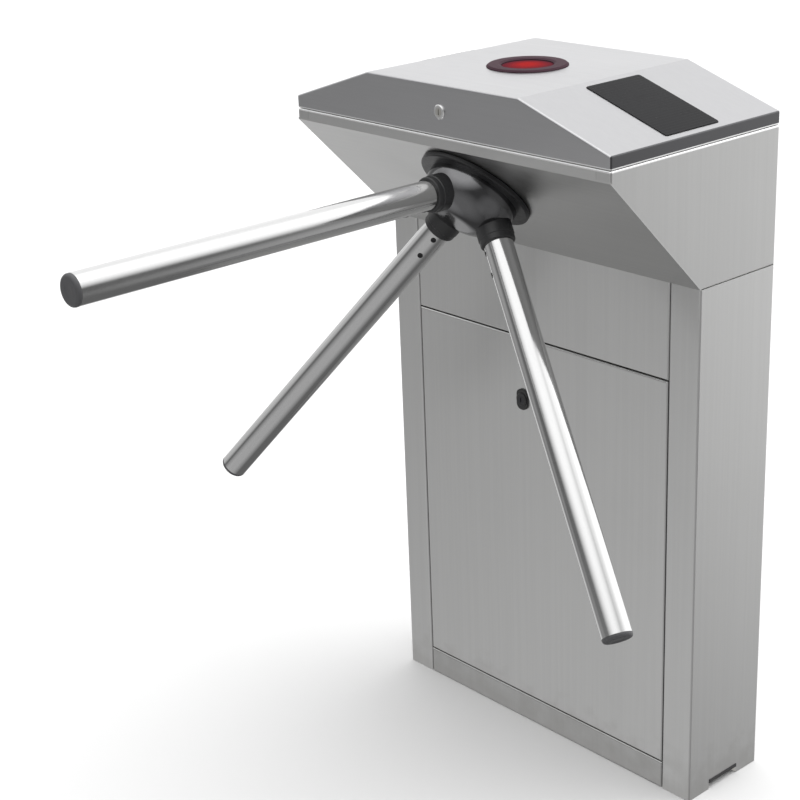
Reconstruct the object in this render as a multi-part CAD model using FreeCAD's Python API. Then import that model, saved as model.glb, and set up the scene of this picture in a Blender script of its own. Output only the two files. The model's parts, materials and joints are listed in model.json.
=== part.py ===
import FreeCAD
import Part
import math
import os

# Tripod turnstile: a stainless column with an overhanging head, a three-arm rotor on a tilted
# axis, the centring and locking mechanism behind it, a hinged lid and a tilt-out door.
# Millimetres. Origin on the floor under the middle of the column, X along the wide face,
# -Y the side that the arms reach out to, Z up.

V = FreeCAD.Vector

# Cabinet
WIDTH = 562.0
COLUMN_DEPTH = 146.0
COLUMN_HEIGHT = 732.0
HEAD_OVERHANG = 165.0
HEAD_RISE = 165.0
LIP_HEIGHT = 15.0
SHEET = 1.5
BEND = 2.5
SEAM = 0.25
PANEL_GAP = 1.0
PANEL_RETURN = 15.0
PILLAR_FACE = 48.0
HEAD_FLANGE = 22.0
BASE_THICKNESS = 10.0
BASE_GAP = 0.5
ANCHOR_SPACING_X = 400.0
ANCHOR_SPACING_Y = 80.0
ANCHOR_HOLE = 14.0
CABLE_ENTRY_LENGTH = 160.0
CABLE_ENTRY_WIDTH = 50.0
CABLE_NOTCH_WIDTH = 60.0
CABLE_NOTCH_HEIGHT = 11.0
CABLE_NOTCH_DEPTH = 40.0

# Door
DOOR_BOTTOM = 40.0
DOOR_TOP = 602.0
DOOR_GAP = 1.5
DOOR_LOCK_HEIGHT = 510.0
DOOR_LOCK_X = -26.0
DOOR_TAB_SPACING = 320.0
DOOR_TAB_WIDTH = 40.0
DOOR_TAB_DROP = 14.0
DOOR_TAB_SETBACK = 7.0
DOOR_TAB_PLAY = 0.5

# Lid
LID_GAP = 1.0
LID_EDGE = 16.0
LID_RISE = 48.0
LID_FLAT = 270.0
LID_RETURN = 12.0
SEAL_INSET = 4.0
SEAL_WIDTH = 8.0
SEAL_PLAY = 0.2
HINGE_LENGTH = 480.0
HINGE_KNUCKLES = 9
HINGE_KNUCKLE_GAP = 0.5
HINGE_KNUCKLE_R = 4.0
HINGE_PIN_R = 2.0
HINGE_STANDOFF = 0.6
HINGE_LEAF = 24.0
HINGE_LEAF_GAP = 1.0
HINGE_ROOT = 6.0

# Readers under the lid's slopes
READER_LENGTH = 134.0
READER_WIDTH = 98.0
READER_CORNER = 4.0
READER_GLASS = 3.0
READER_PROUD = 1.0
READER_PLAY = 0.3
READER_RIM = 5.0
READER_DEPTH = 12.0
READER_WALL = 2.0

# Indicator lamp on the lid
LAMP_BEZEL_R = 53.0
LAMP_NECK_R = 39.7
LAMP_LENS_R = 33.5
LAMP_PROUD = 3.0
LAMP_PLAY = 0.3
LAMP_NECK_DEPTH = 3.0
LAMP_DEPTH = 26.0
LAMP_WALL = 2.5
LAMP_FLANGE_R = 47.0
LAMP_LENS_RISE = 1.4
LAMP_LENS_EDGE = 3.2
LAMP_CHAMFER = 3.0

# Cam locks
LOCK_BODY_R = 8.0
LOCK_HEAD_R = 9.5
LOCK_HEAD = 2.0
LID_LOCK_LENGTH = 20.0
DOOR_LOCK_LENGTH = 15.4
LOCK_PLUG_R = 5.5
LOCK_RUNNING = 0.05
LOCK_NUT_R = 12.0
LOCK_NUT = 5.0
LOCK_KEYWAY_WIDTH = 1.6
LOCK_KEYWAY_LENGTH = 7.0
LOCK_KEYWAY_DEPTH = 1.5
CAM_THICKNESS = 3.0
CAM_WIDTH = 12.0
CAM_GAP = 0.4
LID_LOCK_RISE = 30.0
LID_CAM_LENGTH = 32.0
DOOR_CAM_OVERLAP = 16.0
ESCUTCHEON_HEIGHT = 30.0
ESCUTCHEON_WIDTH = 20.0
ESCUTCHEON = 2.5
KEEPER_SETBACK = 19.0
KEEPER_DEPTH = 12.0
KEEPER_REACH = 18.0
KEEPER_RISE = 40.0
KEEPER_CLEARANCE = 4.0

# Rotor
HUB_ALONG = 85.0
HUB_HOLE_R = 30.0
HUB_GAP = 1.0
HUB_FLANGE_R = 78.0
HUB_FLANGE = 6.0
HUB_FLANGE_EDGE = 2.0
HUB_DOME_R = 62.0
HUB_DOME_SIDE = 7.0
HUB_CROWN_R = 20.0
ARM_COUNT = 3
ARM_SET_IN = 8.0
ARM_SEAT = 58.0
ARM_REACH = 611.0
ARM_TUBE_R = 19.0
ARM_WALL = 1.5
ARM_PLAY = 0.1
COLLAR_R = 23.5
COLLAR_LENGTH = 32.0
COLLAR_CHAMFER = 2.0
CAP_THICKNESS = 6.0
CAP_PLUG = 14.0
CAP_ROUND = 4.0
SET_SCREW_R = 2.5
SET_SCREW_HEAD_R = 3.6
SET_SCREW_PLAY = 0.1
SET_SCREW_PROUD = 0.8
SET_SCREW_FIRST = 8.0
SET_SCREW_PITCH = 30.0
SET_SCREWS_PER_ARM = 2
SPIGOT_TAIL = 12.0

# Shaft and bearings
SHAFT_R = 15.0
SHAFT_COLLAR_R = 22.0
SHAFT_IN_HUB = 24.0
SHAFT_TAIL = 3.0
SHAFT_FIT = 0.05
STANDOFF = 12.0
STANDOFF_R = 8.0
STANDOFF_SPACING_X = 190.0
STANDOFF_UPPER = 52.0
STANDOFF_LOWER = 96.0
PLATE = 6.0
PLATE_WIDTH = 250.0
PLATE_TOP = 68.0
PLATE_WAIST = 112.0
PLATE_FOOT_WIDTH = 80.0
PLATE_CORNER = 10.0
HOUSING_FLANGE_R = 48.0
HOUSING_FLANGE = 8.0
HOUSING_R = 35.0
HOUSING_SHOULDER_R = 24.0
BEARING_R = 27.5
BEARING_WIDTH = 13.0
BEARING_SPACING = 14.0
BEARING_SETBACK = 1.5
BEARING_RACE = 3.0
BEARING_SHIELD = 1.0
RUNNING_GAP = 0.3
GEAR_MODULE = 2.0
GEAR_TEETH = 60
PINION_TEETH = 20
GEAR_WIDTH = 10.0
GEAR_BOSS = 4.5
GEAR_BOSS_R = 22.0
GEAR_BACKLASH = 0.5
GEAR_HOLES = 6
GEAR_HOLE_R = 9.0
GEAR_HOLE_PITCH_R = 39.0
LOCK_WHEEL_R = 50.0
LOCK_WHEEL = 8.0
LOCK_WHEEL_BOSS = 3.0
LOCK_NOTCHES = 12
LOCK_NOTCH_WIDTH = 14.0
LOCK_NOTCH_DEPTH = 8.0
ENCODER_R = 46.0
ENCODER = 1.5
ENCODER_SPACER = 7.0
ENCODER_SPACER_R = 20.0
ENCODER_SLOTS = 12
ENCODER_SLOT_WIDTH = 4.0
ENCODER_SLOT_LENGTH = 8.0
ENCODER_RIM = 3.0
SHAFT_NUT_FLATS = 36.0
SHAFT_NUT = 11.0

# Self-centring crank and its spring
INDEX_SHAFT_R = 8.0
INDEX_BUSH_R = 12.0
INDEX_BUSH_FLANGE_R = 17.0
INDEX_BUSH_FLANGE = 3.0
INDEX_BUSH_LENGTH = 30.0
INDEX_FIT = 0.05
CRANK_R = 23.0
CRANK = 6.0
CRANK_SETBACK = 4.0
CRANK_THROW = 15.0
CRANK_PIN_R = 4.0
CRANK_PIN = 14.0
SPRING_SPAN = 60.0
SPRING_TURNS = 9
SPRING_PITCH = 3.4
SPRING_R = 7.0
SPRING_WIRE_R = 0.9
SPRING_SAMPLES = 36
SPRING_EYE = 3.0
SPRING_EYE_R = 8.0
SPRING_PLUG = 7.0
SPRING_PLUG_GAP = 0.3
SPRING_POST_R = 5.0

# Damper
DAMPER_TOOTH_STEPS = 23
DAMPER_R = 21.0
DAMPER_DEPTH = 34.0
DAMPER_SHAFT_R = 5.0
DAMPER_EAR_R = 6.0
DAMPER_EAR = 4.0
DAMPER_EAR_SPAN = 52.0

# Locking pawls and solenoids
PAWL_PIVOT_X = 66.0
PAWL_PIVOT_Y = 44.0
PAWL_POST_R = 5.0
PAWL_FIT = 0.05
PAWL = 6.0
PAWL_BOSS_R = 9.0
PAWL_ARM_WIDTH = 9.0
PAWL_ARM_INSET = 10.0
PAWL_NOSE_GAP = 1.5
PAWL_NOSE = 8.0
PAWL_NOSE_DROP = 5.0
PAWL_TAIL = 36.0
PAWL_TAIL_WIDTH = 10.0
PAWL_TAIL_END = 7.0
PAWL_PIN_R = 2.4
PAWL_PIN_PLAY = 0.4
PAWL_PIN_SLIDE = 2.0
SOLENOID_WIDTH = 34.0
SOLENOID_LENGTH = 50.0
SOLENOID_DEPTH = 30.0
SOLENOID_TOP = 5.0
SOLENOID_FOOT = 3.0
SOLENOID_FOOT_LENGTH = 24.0
SOLENOID_FLOOR = 2.0
PLUNGER_R = 6.0
PLUNGER_PLAY = 0.3
PLUNGER_TRAVEL_ROOM = 8.0
PLUNGER_TOP_GAP = 3.0
CLEVIS_CHEEK = 3.0
CLEVIS_PLAY = 0.5
CLEVIS_END = 6.0

# Position sensor
SENSOR_WIDTH = 16.0
SENSOR_SLOT = 4.5
SENSOR_PRONG = 3.5
SENSOR_BACK = 7.0
SENSOR_REACH = 8.0
SENSOR_OVERHANG = 10.0
SENSOR_POST_R = 5.0
SENSOR_POST_GAP = 5.0
SENSOR_ARM = 2.0
SENSOR_ARM_END = 6.0

# Electronics
BOARD_WIDTH = 170.0
BOARD_HEIGHT = 110.0
BOARD = 1.6
BOARD_BASE = 30.0
BOARD_STANDOFF = 8.0
BOARD_STANDOFF_R = 3.5
BOARD_EDGE = 8.0
TERMINALS = 8
TERMINAL_PITCH = 17.0
TERMINAL_WIDTH = 14.0
TERMINAL_HEIGHT = 12.0
RELAYS = 4
RELAY_PITCH = 30.0
RELAY_WIDTH = 20.0
RELAY_HEIGHT = 16.0
SUPPLY_WIDTH = 200.0
SUPPLY_HEIGHT = 100.0
SUPPLY_DEPTH = 42.0
SUPPLY_BASE = 70.0
SUPPLY_VENTS = 9
SUPPLY_VENT_PITCH = 16.0
SUPPLY_VENT_WIDTH = 5.0
SUPPLY_VENT_HEIGHT = 60.0
SUPPLY_VENT_DEPTH = 2.0

OVERRUN = 2.0
SAME = 1e-6
PRESSURE_ANGLE = math.radians(20.0)

# Places worked out from the sizes above
HALF_WIDTH = WIDTH / 2
HALF_DEPTH = COLUMN_DEPTH / 2
HEAD_FRONT = -HALF_DEPTH - HEAD_OVERHANG
LIP_Z = COLUMN_HEIGHT + HEAD_RISE
SEAM_Z = LIP_Z + LIP_HEIGHT
LID_Z = SEAM_Z + LID_GAP
LID_TOP = LID_Z + LID_EDGE + LID_RISE
LID_MIDDLE_Y = (HEAD_FRONT + HALF_DEPTH) / 2
PILLAR_X = HALF_WIDTH - PILLAR_FACE
FLANGE_X = HALF_WIDTH - HEAD_FLANGE
SLANT = math.hypot(HEAD_OVERHANG, HEAD_RISE)
HUB_CONE = math.degrees(math.atan2(HEAD_OVERHANG, HEAD_RISE))
HUB_POINT = V(0, HEAD_FRONT + HUB_ALONG * HEAD_OVERHANG / SLANT, LIP_Z - HUB_ALONG * HEAD_RISE / SLANT)
HUB_FRAME = FreeCAD.Placement(HUB_POINT, FreeCAD.Rotation(V(1, 0, 0), 180 - HUB_CONE))
LID_SLOPE = math.degrees(math.atan2(LID_RISE, HALF_WIDTH - LID_FLAT / 2))
LID_LOCK_Z = LID_Z + LID_LOCK_RISE

# Stations along the rotor axis, in the hub frame: 0 on the slanted panel's face, minus is inside
PLATE_FACE = -SHEET - STANDOFF
PLATE_BACK = PLATE_FACE - PLATE
BEARING_FRONT = PLATE_BACK - BEARING_SETBACK
BEARING_REAR = BEARING_FRONT - BEARING_WIDTH - BEARING_SPACING
BEARING_END = BEARING_REAR - BEARING_WIDTH
GEAR_FRONT = BEARING_END - RUNNING_GAP - GEAR_BOSS
GEAR_BACK = GEAR_FRONT - GEAR_WIDTH
WHEEL_FRONT = GEAR_BACK - LOCK_WHEEL_BOSS
WHEEL_BACK = WHEEL_FRONT - LOCK_WHEEL
WHEEL_MIDDLE = (WHEEL_FRONT + WHEEL_BACK) / 2
ENCODER_FRONT = WHEEL_BACK - ENCODER_SPACER
ENCODER_BACK = ENCODER_FRONT - ENCODER
NUT_BACK = ENCODER_BACK - SHAFT_NUT
GEAR_PITCH_R = GEAR_MODULE * GEAR_TEETH / 2
PINION_PITCH_R = GEAR_MODULE * PINION_TEETH / 2
GEAR_TIP_R = GEAR_PITCH_R + GEAR_MODULE
GEAR_CENTRES = GEAR_PITCH_R + PINION_PITCH_R
TOOTH_STEP = 360.0 / GEAR_TEETH
CRANK_FRONT = GEAR_BACK - CRANK_SETBACK
CRANK_BACK = CRANK_FRONT - CRANK
SPRING_LEVEL = CRANK_BACK - CRANK_PIN / 2
SPRING_TOP_Y = -GEAR_CENTRES - CRANK_THROW
SPRING_POST_Y = SPRING_TOP_Y - SPRING_SPAN
PLATE_FOOT = SPRING_POST_Y - SPRING_POST_R - PLATE_CORNER
DAMPER_ANGLE = -TOOTH_STEP * DAMPER_TOOTH_STEPS
PAWL_FRONT = WHEEL_MIDDLE + PAWL / 2
PAWL_BACK = WHEEL_MIDDLE - PAWL / 2
TAIL_X = PAWL_PIVOT_X + PAWL_TAIL


def box(x0, x1, y0, y1, z0, z1):
    """Block between two opposite corners."""
    return Part.makeBox(x1 - x0, y1 - y0, z1 - z0, V(x0, y0, z0))


def rod(radius, z0, z1, x=0.0, y=0.0):
    """Round bar along Z between two heights, in either order."""
    return Part.makeCylinder(radius, abs(z1 - z0), V(x, y, min(z0, z1)))


def prism(corners, reach):
    """Solid from a flat outline pushed along a vector."""
    outline = Part.makePolygon(corners + corners[:1])
    return Part.Face(outline).extrude(reach)


def turned(profile):
    """Solid of revolution about Z from (radius, height) corners."""
    outline = Part.makePolygon([V(r, 0, z) for r, z in profile + profile[:1]])
    return Part.Face(outline).revolve(V(0, 0, 0), V(0, 0, 1), 360)


def joined(shapes):
    """One solid from pieces that meet."""
    return shapes[0].multiFuse(shapes[1:]).removeSplitter()


def on_plane(edge, axis, value):
    """True where an edge lies in the plane axis = value."""
    return all(abs(getattr(v.Point, axis) - value) < SAME for v in edge.Vertexes)


def softened(shape, radius, wanted):
    """Round the edges that a test picks."""
    return shape.makeFillet(radius, [e for e in shape.Edges if wanted(e)])


def mirrored(shape):
    """The same piece for the other end of the cabinet."""
    return shape.mirror(V(0, 0, 0), V(1, 0, 0))


def moved(shape, placement):
    """Copy of a piece carried to another frame."""
    placed = shape.copy()
    placed.Placement = placement.multiply(placed.Placement)
    return placed


def on_hub(shape):
    """Carry a piece from the hub frame, Z outwards along the rotor axis, to the cabinet."""
    return moved(shape, HUB_FRAME)


def turned_to_front(x, y, z):
    """Frame whose Z runs out of the front face, for pieces turned about a lock's axis."""
    return FreeCAD.Placement(V(x, y, z), FreeCAD.Rotation(V(1, 0, 0), 90))


def inset(outline, distance):
    """Convex outline of 2D points, anticlockwise, with every side moved inwards."""
    lines = []
    for (ax, ay), (bx, by) in zip(outline, outline[1:] + outline[:1]):
        length = math.hypot(bx - ax, by - ay)
        nx, ny = (ay - by) / length, (bx - ax) / length
        lines.append((nx, ny, nx * ax + ny * ay + distance))
    corners = []
    for (a, b, c), (d, e, f) in zip(lines[-1:] + lines[:-1], lines):
        determinant = a * e - b * d
        corners.append(((c * e - b * f) / determinant, (a * f - c * d) / determinant))
    return corners


# Column

def right_pillar():
    """Lipped channel that closes the right end of the column, with a cable notch at the floor."""
    outer = box(PILLAR_X, HALF_WIDTH, -HALF_DEPTH, HALF_DEPTH, 0, COLUMN_HEIGHT)
    outer = softened(outer, BEND, lambda e: abs(e.tangentAt(0).z) > 0.5)
    hollow = box(
        PILLAR_X + SHEET, HALF_WIDTH - SHEET, SHEET - HALF_DEPTH, HALF_DEPTH - SHEET,
        -OVERRUN, COLUMN_HEIGHT + OVERRUN,
    )
    lip = HALF_DEPTH - PANEL_RETURN
    mouth = box(PILLAR_X - OVERRUN, PILLAR_X + SHEET + OVERRUN, -lip, lip, -OVERRUN, COLUMN_HEIGHT + OVERRUN)
    half_notch = CABLE_NOTCH_WIDTH / 2
    notch = box(
        HALF_WIDTH - SHEET - OVERRUN, HALF_WIDTH + OVERRUN, -half_notch, half_notch,
        -OVERRUN, CABLE_NOTCH_HEIGHT,
    )
    return outer.cut([hollow, mouth, notch])


def front_tray(half_x, z0, z1, square_top=False):
    """Upright panel in the column's front face, folded inwards on all four sides."""
    face = -HALF_DEPTH
    outer = box(-half_x, half_x, face, face + PANEL_RETURN, z0, z1)

    def folded(edge):
        """True on the front edges, except for a top that meets the slanted panel."""
        return on_plane(edge, "y", face) and not (square_top and on_plane(edge, "z", z1))

    outer = softened(outer, BEND, folded)
    hollow = box(
        -half_x + SHEET, half_x - SHEET, face + SHEET, face + PANEL_RETURN + OVERRUN,
        z0 + SHEET, z1 - SHEET,
    )
    return outer.cut(hollow)


def rear_tray(half_x, z0, z1):
    """The same folded panel in the rear face."""
    return front_tray(half_x, z0, z1).mirror(V(0, 0, 0), V(0, 1, 0))


def door_tab_places():
    """Middles of the door's two tabs along X."""
    return [-DOOR_TAB_SPACING / 2, DOOR_TAB_SPACING / 2]


def door_sill():
    """Fixed strip under the door, slotted for the door's tabs."""
    sill = front_tray(PILLAR_X - PANEL_GAP, 0, DOOR_BOTTOM)
    tab_y = -HALF_DEPTH + DOOR_TAB_SETBACK
    half_slot = SHEET / 2 + DOOR_TAB_PLAY
    half_length = DOOR_TAB_WIDTH / 2 + DOOR_TAB_PLAY
    slots = [
        box(x - half_length, x + half_length, tab_y - half_slot, tab_y + half_slot,
            DOOR_BOTTOM - SHEET - OVERRUN, DOOR_BOTTOM + OVERRUN)
        for x in door_tab_places()
    ]
    return sill.cut(slots)


def door_panel():
    """Tilt-out door: folded panel with two tabs that hang in the sill."""
    bottom = DOOR_BOTTOM + DOOR_GAP
    panel = front_tray(PILLAR_X - DOOR_GAP, bottom, DOOR_TOP - DOOR_GAP)
    tab_y = -HALF_DEPTH + DOOR_TAB_SETBACK
    tabs = [
        box(x - DOOR_TAB_WIDTH / 2, x + DOOR_TAB_WIDTH / 2, tab_y - SHEET / 2, tab_y + SHEET / 2,
            DOOR_BOTTOM - DOOR_TAB_DROP, bottom + SHEET)
        for x in door_tab_places()
    ]
    lock_hole = moved(
        rod(LOCK_BODY_R + LOCK_RUNNING, -PANEL_RETURN, OVERRUN),
        turned_to_front(DOOR_LOCK_X, -HALF_DEPTH, DOOR_LOCK_HEIGHT),
    )
    return joined([panel] + tabs).cut(lock_hole)


def base_plate():
    """Floor plate with four anchor holes, a cable entry and a notch behind each end's cable slot."""
    half_x = HALF_WIDTH - SHEET
    half_y = HALF_DEPTH - PANEL_RETURN - BASE_GAP
    plate = box(-half_x, half_x, -half_y, half_y, 0, BASE_THICKNESS)
    cuts = []
    for x in (-ANCHOR_SPACING_X / 2, ANCHOR_SPACING_X / 2):
        for y in (-ANCHOR_SPACING_Y / 2, ANCHOR_SPACING_Y / 2):
            cuts.append(rod(ANCHOR_HOLE / 2, -OVERRUN, BASE_THICKNESS + OVERRUN, x, y))
    entry = box(
        -CABLE_ENTRY_LENGTH / 2, CABLE_ENTRY_LENGTH / 2, -CABLE_ENTRY_WIDTH / 2, CABLE_ENTRY_WIDTH / 2,
        -OVERRUN, BASE_THICKNESS + OVERRUN,
    )
    cuts.append(softened(entry, CABLE_ENTRY_WIDTH / 4, lambda e: abs(e.tangentAt(0).z) > 0.5))
    half_notch = CABLE_NOTCH_WIDTH / 2
    for end in (-1, 1):
        inner, outer = sorted((end * (half_x - CABLE_NOTCH_DEPTH), end * (half_x + OVERRUN)))
        cuts.append(box(inner, outer, -half_notch, half_notch, -OVERRUN, BASE_THICKNESS + OVERRUN))
    return plate.cut(cuts)


# Head

def slant_back_step():
    """Thickness of the slanted sheet measured along Z and along Y."""
    return SHEET * SLANT / HEAD_OVERHANG, SHEET * SLANT / HEAD_RISE


def right_head_side():
    """Folded gusset that closes the right end of the head, flanged all round."""
    rise, run = slant_back_step()
    outline = [
        (-HALF_DEPTH + run, COLUMN_HEIGHT), (HALF_DEPTH, COLUMN_HEIGHT), (HALF_DEPTH, SEAM_Z),
        (HEAD_FRONT, SEAM_Z), (HEAD_FRONT, LIP_Z + rise),
    ]
    outer = prism([V(FLANGE_X, y, z) for y, z in outline], V(HEAD_FLANGE, 0, 0))

    def bent(edge):
        """True on the folds round the end face, apart from the slanted one, and along the front's top."""
        heading = edge.tangentAt(0)
        slanted = abs(heading.y) > SAME and abs(heading.z) > SAME
        front_top = on_plane(edge, "y", HEAD_FRONT) and on_plane(edge, "z", SEAM_Z)
        return front_top or (on_plane(edge, "x", HALF_WIDTH) and not slanted)

    outer = softened(outer, BEND, bent)
    hollow = prism(
        [V(FLANGE_X - OVERRUN, y, z) for y, z in inset(outline, SHEET)],
        V(HEAD_FLANGE - SHEET + OVERRUN, 0, 0),
    )
    return outer.cut(hollow)


def slant_panel():
    """Slanted front of the head with the hub opening, folded up into the front lip and its return."""
    rise, run = slant_back_step()
    slope = [
        (-HALF_DEPTH, COLUMN_HEIGHT), (-HALF_DEPTH + run, COLUMN_HEIGHT),
        (HEAD_FRONT, LIP_Z + rise), (HEAD_FRONT, LIP_Z),
    ]
    sheet = prism([V(-HALF_WIDTH, y, z) for y, z in slope], V(WIDTH, 0, 0))
    half_lip = FLANGE_X - SEAM
    lip = box(-half_lip, half_lip, HEAD_FRONT, HEAD_FRONT + SHEET, LIP_Z, SEAM_Z)
    top = box(-half_lip, half_lip, HEAD_FRONT, HEAD_FRONT + PANEL_RETURN, SEAM_Z - SHEET, SEAM_Z)
    folded = joined([sheet, lip, top])
    folded = softened(folded, BEND, lambda e: on_plane(e, "y", HEAD_FRONT) and on_plane(e, "z", SEAM_Z))
    hole = on_hub(rod(HUB_HOLE_R, -SHEET - OVERRUN, OVERRUN))
    return folded.cut(hole)


def lid_seal():
    """Rubber frame that the lid closes on."""
    top = SEAM_Z + LID_GAP - SEAL_PLAY

    def frame_block(margin, z0, z1):
        """Block of the rim's plan, drawn in by a margin."""
        reach = HALF_WIDTH - margin
        return box(-reach, reach, HEAD_FRONT + margin, HALF_DEPTH - margin, z0, z1)

    hollow = frame_block(SEAL_INSET + SEAL_WIDTH, SEAM_Z - OVERRUN, top + OVERRUN)
    return frame_block(SEAL_INSET, SEAM_Z, top).cut(hollow)


# Lid

def lid_outline():
    """Lid seen from the front: upright edges, two slopes and a flat top, anticlockwise."""
    shoulder = LID_Z + LID_EDGE
    half_flat = LID_FLAT / 2
    return [
        (-HALF_WIDTH, LID_Z), (HALF_WIDTH, LID_Z), (HALF_WIDTH, shoulder),
        (half_flat, LID_TOP), (-half_flat, LID_TOP), (-HALF_WIDTH, shoulder),
    ]


def slope_frame(side):
    """Frame on the middle of a slope, Z out of the sheet; side is 1 on the right, -1 on the left."""
    x = side * (HALF_WIDTH + LID_FLAT / 2) / 2
    z = LID_TOP - LID_RISE / 2
    return FreeCAD.Placement(V(x, LID_MIDDLE_Y, z), FreeCAD.Rotation(V(0, 1, 0), side * LID_SLOPE))


def reader_block(grow, z0, z1):
    """Block of the reader window's plan with rounded corners, grown on every side."""
    half_x = READER_LENGTH / 2 + grow
    half_y = READER_WIDTH / 2 + grow
    block = box(-half_x, half_x, -half_y, half_y, z0, z1)
    return softened(block, READER_CORNER, lambda e: abs(e.tangentAt(0).z) > 0.5)


def lid_shell():
    """Folded lid: bevelled hood with returns at its open bottom and openings for what it carries."""
    depth = HALF_DEPTH - HEAD_FRONT
    outer = prism([V(x, HEAD_FRONT, z) for x, z in lid_outline()], V(0, depth, 0))
    outer = softened(outer, BEND, lambda e: not on_plane(e, "z", LID_Z))
    inside = inset(lid_outline(), SHEET)
    hollow = prism([V(x, HEAD_FRONT + SHEET, z) for x, z in inside], V(0, depth - 2 * SHEET, 0))
    margin = SHEET + LID_RETURN
    mouth = box(
        -HALF_WIDTH + margin, HALF_WIDTH - margin, HEAD_FRONT + margin, HALF_DEPTH - margin,
        LID_Z - OVERRUN, LID_Z + SHEET + OVERRUN,
    )
    cuts = [hollow, mouth]
    cuts.append(rod(LAMP_NECK_R + LAMP_PLAY, LID_TOP - SHEET - OVERRUN, LID_TOP + OVERRUN, 0, LID_MIDDLE_Y))
    opening = reader_block(READER_PLAY, -SHEET - OVERRUN, OVERRUN)
    cuts.extend(moved(opening, slope_frame(side)) for side in (-1, 1))
    cuts.append(moved(
        rod(LOCK_BODY_R + LOCK_RUNNING, -SHEET - OVERRUN, OVERRUN),
        turned_to_front(0, HEAD_FRONT, LID_LOCK_Z),
    ))
    return outer.cut(cuts)


def reader_window(side):
    """Dark glass plate set in a slope, standing a little proud."""
    return moved(reader_block(0, READER_PROUD - READER_GLASS, READER_PROUD), slope_frame(side))


def reader_housing(side):
    """Shallow box under a slope that carries the glass on a ledge."""
    ledge = READER_PROUD - READER_GLASS
    top = -SHEET
    bottom = top - READER_DEPTH
    outer = reader_block(READER_RIM, bottom, top)
    pocket = reader_block(READER_PLAY, ledge, top + OVERRUN)
    cavity = reader_block(-READER_RIM, bottom + READER_WALL, top)
    return moved(outer.cut([pocket, cavity]), slope_frame(side))


def on_lamp(shape):
    """Carry a turned piece from the lid's top plane to the lamp's place."""
    return moved(shape, FreeCAD.Placement(V(0, LID_MIDDLE_Y, LID_TOP), FreeCAD.Rotation()))


def indicator_bezel():
    """Dark ring round the lamp, bevelled towards both edges, with a neck through the lid."""
    bore = LAMP_LENS_R + LAMP_PLAY
    profile = [
        (bore, -LAMP_NECK_DEPTH), (LAMP_NECK_R, -LAMP_NECK_DEPTH), (LAMP_NECK_R, 0), (LAMP_BEZEL_R, 0),
        (LAMP_BEZEL_R, LAMP_PROUD / 3), (LAMP_BEZEL_R - LAMP_CHAMFER, LAMP_PROUD),
        (bore + LAMP_CHAMFER, LAMP_PROUD), (bore, LAMP_PROUD / 2),
    ]
    return on_lamp(turned(profile))


def indicator_lens():
    """Lens with a shallow crown that stands in the bezel."""
    bottom = -LAMP_NECK_DEPTH
    edge = bottom + LAMP_LENS_EDGE
    crown = edge + LAMP_LENS_RISE
    ball = (LAMP_LENS_R ** 2 + LAMP_LENS_RISE ** 2) / (2 * LAMP_LENS_RISE)
    halfway = math.asin(LAMP_LENS_R / ball) / 2
    middle = V(ball * math.sin(halfway), 0, crown - ball * (1 - math.cos(halfway)))
    outline = Part.Wire([
        Part.makeLine(V(0, 0, bottom), V(LAMP_LENS_R, 0, bottom)),
        Part.makeLine(V(LAMP_LENS_R, 0, bottom), V(LAMP_LENS_R, 0, edge)),
        Part.Arc(V(LAMP_LENS_R, 0, edge), middle, V(0, 0, crown)).toShape(),
        Part.makeLine(V(0, 0, crown), V(0, 0, bottom)),
    ])
    return on_lamp(Part.Face(outline).revolve(V(0, 0, 0), V(0, 0, 1), 360))


def indicator_housing():
    """Lamp cup under the lid with the ledge that carries the lens and the bezel's neck."""
    top = -SHEET
    ledge = -LAMP_NECK_DEPTH
    bottom = -LAMP_DEPTH
    cavity = LAMP_LENS_R - LAMP_WALL
    neck = LAMP_NECK_R + LAMP_PLAY
    profile = [
        (0, bottom), (LAMP_NECK_R, bottom), (LAMP_NECK_R, ledge - LAMP_WALL),
        (LAMP_FLANGE_R, ledge - LAMP_WALL), (LAMP_FLANGE_R, top), (neck, top), (neck, ledge),
        (cavity, ledge), (cavity, bottom + LAMP_WALL), (0, bottom + LAMP_WALL),
    ]
    return on_lamp(turned(profile))


def hinge_axis():
    """Y and Z of the lid hinge's pin."""
    return HALF_DEPTH + HINGE_KNUCKLE_R + HINGE_STANDOFF, SEAM_Z + LID_GAP / 2


def hinge_leaf(on_lid):
    """One leaf of the piano hinge with every other knuckle, for the lid or for the cabinet."""
    axis_y, axis_z = hinge_axis()
    way = 1 if on_lid else -1
    step = HINGE_LENGTH / HINGE_KNUCKLES
    near = HINGE_KNUCKLE_R + HINGE_LEAF_GAP
    z0, z1 = sorted((axis_z + way * near, axis_z + way * HINGE_LEAF))
    pieces = [box(-HINGE_LENGTH / 2, HINGE_LENGTH / 2, HALF_DEPTH, HALF_DEPTH + SHEET, z0, z1)]
    for k in range(1 if on_lid else 0, HINGE_KNUCKLES, 2):
        x0 = -HINGE_LENGTH / 2 + k * step + HINGE_KNUCKLE_GAP / 2
        x1 = x0 + step - HINGE_KNUCKLE_GAP
        pieces.append(Part.makeCylinder(HINGE_KNUCKLE_R, x1 - x0, V(x0, axis_y, axis_z), V(1, 0, 0)))
        r0, r1 = sorted((axis_z + way * HINGE_PIN_R, axis_z + way * (near + SHEET)))
        pieces.append(box(x0, x1, HALF_DEPTH, axis_y - HINGE_PIN_R, r0, r1))
    bore = Part.makeCylinder(
        HINGE_PIN_R + LOCK_RUNNING, HINGE_LENGTH + 2 * OVERRUN,
        V(-HINGE_LENGTH / 2 - OVERRUN, axis_y, axis_z), V(1, 0, 0),
    )
    return joined(pieces).cut(bore)


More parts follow.
